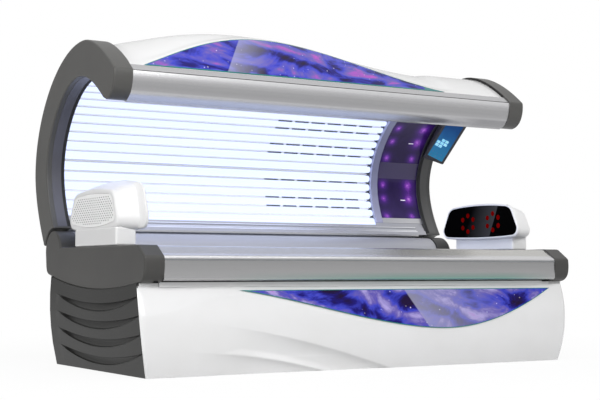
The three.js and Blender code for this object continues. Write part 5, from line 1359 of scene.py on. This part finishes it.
shape = sheet(rail_surface(RAIL_DEPTH), rail_surface(RAIL_DEPTH + WALL), 1,
              len(lip_line) + len(nose_line) + 1)
levels = [on_canopy(0, *place).z for place in (lip_line[0], nose_line[0], nose_line[-2])]
add_piece("canopy_rail_extrusion", shape, painted_light_canopy_rail(*levels), "canopy", "aluminium",
          node="canopy_front_rail")
groove_shade = [beside_line(lip_line, RAIL_DEPTH + depth)[-1] for depth in GROOVE_SHADE_DEPTHS]
groove_shade += [beside_line(nose_line, RAIL_DEPTH + depth)[0] for depth in reversed(GROOVE_SHADE_DEPTHS)]
add_piece("canopy_rail_groove_shade", prism(groove_shade, -SKIN_END, SKIN_END, on_canopy), RUBBER, "canopy", "rubber")

# Front rail of the bench, with a fine groove and a dark strip in it as its painted shade
RAIL_TOP, RAIL_FOOT, RAIL_FACE = BENCH_TOP - 3, BENCH_TOP - 141, BENCH_FRONT + 6
GROOVE = BENCH_TOP - 58
bench_ring = [(RAIL_REAR, RAIL_TOP)]
bench_ring += quadratic((BENCH_FRONT + 88, RAIL_TOP), (BENCH_FRONT + 79, RAIL_TOP),
                        (BENCH_FRONT + 70, RAIL_TOP - 6), 5)
bench_ring += bezier((BENCH_FRONT + 34, BENCH_TOP - 31), (BENCH_FRONT + 14, BENCH_TOP - 43),
                     (RAIL_FACE, BENCH_TOP - 45), (RAIL_FACE, GROOVE + 3), 14)
bench_ring += [(RAIL_FACE + 5, GROOVE + 1.5), (RAIL_FACE + 5, GROOVE - 1.5), (RAIL_FACE, GROOVE - 3)]
bench_ring += quadratic((RAIL_FACE, RAIL_FOOT + 12), (RAIL_FACE, RAIL_FOOT), (RAIL_FACE + 18, RAIL_FOOT), 8)
bench_ring.append((RAIL_REAR, RAIL_FOOT))
add_piece("bench_rail_extrusion", prism(bench_ring, -SKIN_END, SKIN_END, on_bench), painted_light_bench_rail(), "base",
          "aluminium", node="bench_front_rail")
shape = box(-SKIN_END, SKIN_END, RAIL_FACE + 1.0, RAIL_FACE + 4.5, GROOVE - 2.2, GROOVE + 2.2)
add_piece("bench_rail_groove_shade", shape, STEEL, "base", "frame_steel")

# CAD nodes that stay
BAND_LOOK = moulded("lamp_band", (0.33, 0.33, 0.45), (0.37, 0.37, 0.50), 0.35, 600, 0.04)
for look, names in (
        (ALUMINIUM, ("skirt_sill", "lower_facial_unit", "upper_facial_unit")),
        (REAR_ALUMINIUM, ("canopy_rear_rail", "bench_rear_rail")),
        (REFLECTOR, ("canopy_reflector", "bench_reflector_tray")),
        (BAND_LOOK, ("lamp_end_band",)),
        (CLEAR, ("canopy_acrylic", "bench_acrylic")),
        (STEEL, ("base_frame", "ballast_tray", "canopy_left_end_frame", "canopy_right_end_frame")),
        (CAP_GREY, ("base_rear_panel",)),
        (BLACK, ("mains_gland", "base_fan_housing", "base_fan_rotor"))):
    for name in names:
        dress(name, look)
for side_name in SIDES:
    for name, look in (("hinge_pin", BRIGHT), ("strut_rod", BRIGHT), ("strut_cylinder", BLACK_METAL),
                       ("pod_light_board", BOARD)):
        dress(f"{side_name}_{name}", look)
    for end in ("front", "rear"):
        dress(f"{end}_{side_name}_foot", RUBBER, 2.0)

# Lines of the rear canopy rail: the foot of the acrylic painted with the lamps' glow, beads in a pale metal
# as painted highlights, a dark strip as a painted shade line, and the lip that closes on the bench
BEAD_HIGHLIGHT_LOOK = metal("rail_bead_highlight", (0.86, 0.86, 0.88), (0.89, 0.89, 0.91), 0.4, strength=0.001)
RAIL_HALF, BEAD_THICK = 940.0, 1.8
LIP_RADII, LIP_ANGLES = (97.5, 106.0), (math.radians(91.0), math.radians(86.0))
for name, look, slot, right, start, stop, depth in (
        ("acrylic_lit_foot", LAMP, "lamp_glass", HEAD_START - 12, 66.0, 79.5, 11.6),
        ("rail_upper_bead", BEAD_HIGHLIGHT_LOOK, "aluminium", RAIL_HALF, 47.0, 51.0, 5.5),
        ("rail_upper_shade_line", STEEL, "frame_steel", RAIL_HALF, 42.5, 45.0, 6.0),
        ("rail_middle_bead", BEAD_HIGHLIGHT_LOOK, "aluminium", RAIL_HALF, 30.0, 33.5, 5.5),
        ("rail_lower_bead", BEAD_HIGHLIGHT_LOOK, "aluminium", RAIL_HALF, 18.0, 23.0, -0.5)):
    shape = strip(liner_at, -RAIL_HALF, right, depth, depth + BEAD_THICK, start, stop, 4)
    add_piece(name, shape, look, "canopy", slot)
lip_ring = [(LIP_RADII[r] * math.cos(LIP_ANGLES[a]), LIP_RADII[r] * math.sin(LIP_ANGLES[a]))
            for r, a in ((0, 0), (1, 0), (1, 1), (0, 1))]
shape = prism(lip_ring, -RAIL_HALF, RAIL_HALF, on_canopy)
add_piece("rear_rail_lip", shape, ALUMINIUM, "canopy", "aluminium")

# Rear: corner seals, louvres and screws on the panel
REAR_FACE = REAR_PANEL_Y - 0.3
SEAL_IN, SEAL_OUT, SEAL_BACK, SEAL_FRONT = 45, 1, 12, 5
LOUVRE_PITCH, LOUVRE_ROWS, LOUVRE_HALF, LOUVRE_FOOT = 20.0, 7, 170.0, 150.0
LOUVRE_SECTION = ((-1, 0), (6, -7), (6, -5.5), (-1, 9))
SCREW_RADIUS, SCREW_SIDES = 6.0, 16
SCREW_SECTION = ((-1.0, 1.0), (1.5, 1.0), (2.4, 0.75), (1.4, 0.3))
SCREW_COLUMNS, SCREW_ROWS = steps(-1020.0, 1020.0, 6), (40.0, 360.0)
LOUVRE_CENTRES, SEAL_LEVELS = (-560.0, 0.0, 560.0), steps(6.0, 392.0, 14)
for side_name, side in SIDES.items():
    rings = []
    for z in SEAL_LEVELS:
        reach = half_length_at(min(z, SKIRT_TOP))
        rings.append([on_bench(side * (reach - a), REAR_FACE - b, z)
                      for a, b in ((SEAL_IN, SEAL_BACK), (SEAL_OUT, SEAL_BACK), (SEAL_OUT, SEAL_FRONT),
                                   (SEAL_IN, SEAL_FRONT))])
    add_piece(f"{side_name}_rear_corner_seal", loft(rings), RUBBER, "base", "rubber")
louvres = []
for centre in LOUVRE_CENTRES:
    for row in range(LOUVRE_ROWS):
        foot = LOUVRE_FOOT + row * LOUVRE_PITCH
        section = [(REAR_FACE + y, foot + z) for y, z in LOUVRE_SECTION]
        louvres.append(prism(section, centre - LOUVRE_HALF, centre + LOUVRE_HALF, on_bench))
add_piece("rear_louvres", joined(louvres), CAP_GREY, "base", "grey_plastic", 20)
stations = [(REAR_FACE + place, SCREW_RADIUS * share) for place, share in SCREW_SECTION]
screws = [turned(stations, x, z, SCREW_SIDES, lambda y, x, z: on_bench(x, y, z))
          for x in SCREW_COLUMNS for z in SCREW_ROWS]
add_piece("rear_screws", joined(screws), BRIGHT, "base", "frame_steel", 40)

# Black strip under the bench rail, standing in for its shadow, the pale band below it, white fillers and
# black blocks at its ends standing in for the shadow at the cap corners
SILL_LOOK = metal("sill_band", (0.80, 0.80, 0.81), (0.83, 0.83, 0.84), 0.4, share=0.15)
SILL_Y = front_at(SKIRT_TOP)
FILLER_END = 1080.0
SHADOW_BLOCK_SPANS = {"left": (-1032, -1014), "right": (958, 984)}
shape = box(-SKIN_END, SKIN_END, SILL_Y - 1.5, SILL_Y + 20, RAIL_FOOT - 5.5, RAIL_FOOT - 0.2)
add_piece("rail_shadow_strip", shape, RUBBER, "base", "rubber")
shape = box(-SKIN_END, SKIN_END, SILL_Y - 1.0, SILL_Y + 20, SKIRT_TOP - 3, RAIL_FOOT - 5.6)
add_piece("sill_band", shape, SILL_LOOK, "base", "aluminium")
for side_name, side in SIDES.items():
    shape = box(side * (ARCH_IN + 0.5), side * FILLER_END, SILL_Y + 7, SILL_Y + 40, SKIRT_TOP - 2,
                RAIL_FOOT - 0.5)
    rounded(add_piece(f"{side_name}_skirt_filler", shape, WHITE, "base", "white_gloss"), 2.0)
    shape = box(*SHADOW_BLOCK_SPANS[side_name], SILL_Y - 24, SILL_Y + 10, RAIL_FOOT - 9, RAIL_FOOT - 0.5)
    rounded(add_piece(f"{side_name}_rail_end_shadow_block", shape, BLACK, "base", "black_plastic"), 2.0)

# Studio: white floor and surroundings, soft lamps
AMBIENT = 0.30
WALL_GREY = 0.42
FLOOR_WHITE = 0.92
FLOOR_BOUNCE, FLOOR_PALE = 0.5, 0.9
FLOOR_FADE = (1.4, 3.2)
FLOOR_HALF, FLOOR_Z = 14.0, -0.001


def seen_by(tree, *rays):
    path = new_node(tree, "ShaderNodeLightPath")
    factor = path.outputs[f"Is {rays[0]} Ray"]
    for ray in rays[1:]:
        factor = maths(tree, "MAXIMUM", factor, path.outputs[f"Is {ray} Ray"])
    return factor


def shader_mix(tree, factor, first, second):
    mix = new_node(tree, "ShaderNodeMixShader")
    for slot, source in enumerate((factor, first.outputs[0], second.outputs[0])):
        tree.links.new(source, mix.inputs[slot])
    return mix


def show_mix(tree, output, unseen, seen):
    """One shader for what is seen directly or in a mirror, and another for all other light."""
    mix = shader_mix(tree, seen_by(tree, "Camera", "Glossy", "Transmission"), unseen, seen)
    tree.links.new(mix.outputs[0], new_node(tree, output).inputs[0])


def make_world():
    world = bpy.data.worlds.new("studio")
    bpy.context.scene.world = world
    world.use_nodes = True
    tree = world.node_tree
    tree.nodes.clear()
    ambient = new_node(tree, "ShaderNodeBackground", {"Strength": AMBIENT, "Color": (1, 1, 1, 1)})
    white = new_node(tree, "ShaderNodeBackground", {"Color": (1, 1, 1, 1)})
    height = new_node(tree, "ShaderNodeSeparateXYZ")
    tree.links.new(new_node(tree, "ShaderNodeTexCoord").outputs["Generated"], height.inputs["Vector"])
    wall = spread(tree, height.outputs["Z"], WALL_GREY, 1.0, 0.0, 0.85)
    tree.links.new(maths(tree, "MAXIMUM", wall, seen_by(tree, "Camera")), white.inputs["Strength"])
    show_mix(tree, "ShaderNodeOutputWorld", ambient, white)


def floor_look():
    mat = bpy.data.materials.new("floor")
    mat.use_nodes = True
    tree = mat.node_tree
    tree.nodes.clear()
    unseen, pale = (new_node(tree, "ShaderNodeBsdfDiffuse", {"Color": (*even(tone), 1)})
                    for tone in (FLOOR_BOUNCE, FLOOR_PALE))
    reach = measured(tree, "LENGTH", (0, 0, 0))
    white = new_node(tree, "ShaderNodeEmission")
    seen = shader_mix(tree, spread(tree, reach, FLOOR_WHITE, 1.0, *FLOOR_FADE), pale, white)
    show_mix(tree, "ShaderNodeOutputMaterial", unseen, seen)
    return mat


def make_floor():
    mesh = bpy.data.meshes.new("floor")
    corners = ((-1, -1), (1, -1), (1, 1), (-1, 1))
    mesh.from_pydata([(x * FLOOR_HALF, y * FLOOR_HALF, FLOOR_Z) for x, y in corners], [], [(0, 1, 2, 3)])
    mesh.materials.append(floor_look())
    floor = bpy.data.objects.new("floor", mesh)
    bpy.context.collection.objects.link(floor)
    floor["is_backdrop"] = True


def soft_light(name, place, target, size, power):
    data = bpy.data.lights.new(name, "AREA")
    data.shape = "RECTANGLE"
    data.size, data.size_y = size
    data.energy = power
    light = bpy.data.objects.new(name, data)
    light.location = place
    light.rotation_euler = (Vector(target) - Vector(place)).to_track_quat("-Z", "Y").to_euler()
    light.visible_glossy = not name.endswith("fill")
    bpy.context.collection.objects.link(light)


make_world()
make_floor()
soft_light("key", (-1.3, -5.0, 3.4), (0, -0.3, 0.6), (4.0, 2.0), 228)
soft_light("left_fill", (-5.5, -1.0, 1.8), (-0.5, -0.2, 0.7), (2.5, 2.0), 92)
soft_light("right_fill", (5.5, -1.2, 2.0), (0.5, -0.2, 0.7), (2.5, 2.0), 66)
soft_light("rear_fill", (1.0, 5.0, 3.0), (0, 0.2, 0.8), (4.0, 2.0), 120)
soft_light("overhead", (0.0, -1.4, 4.0), (0, -0.6, 0.6), (4.5, 0.5), 20)
bpy.context.scene.view_settings.view_transform = "Standard"

boxes = {"cad": cad_box, "visual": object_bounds()}
{key: [list(corner_) for corner_ in value] for key, value in boxes.items()}
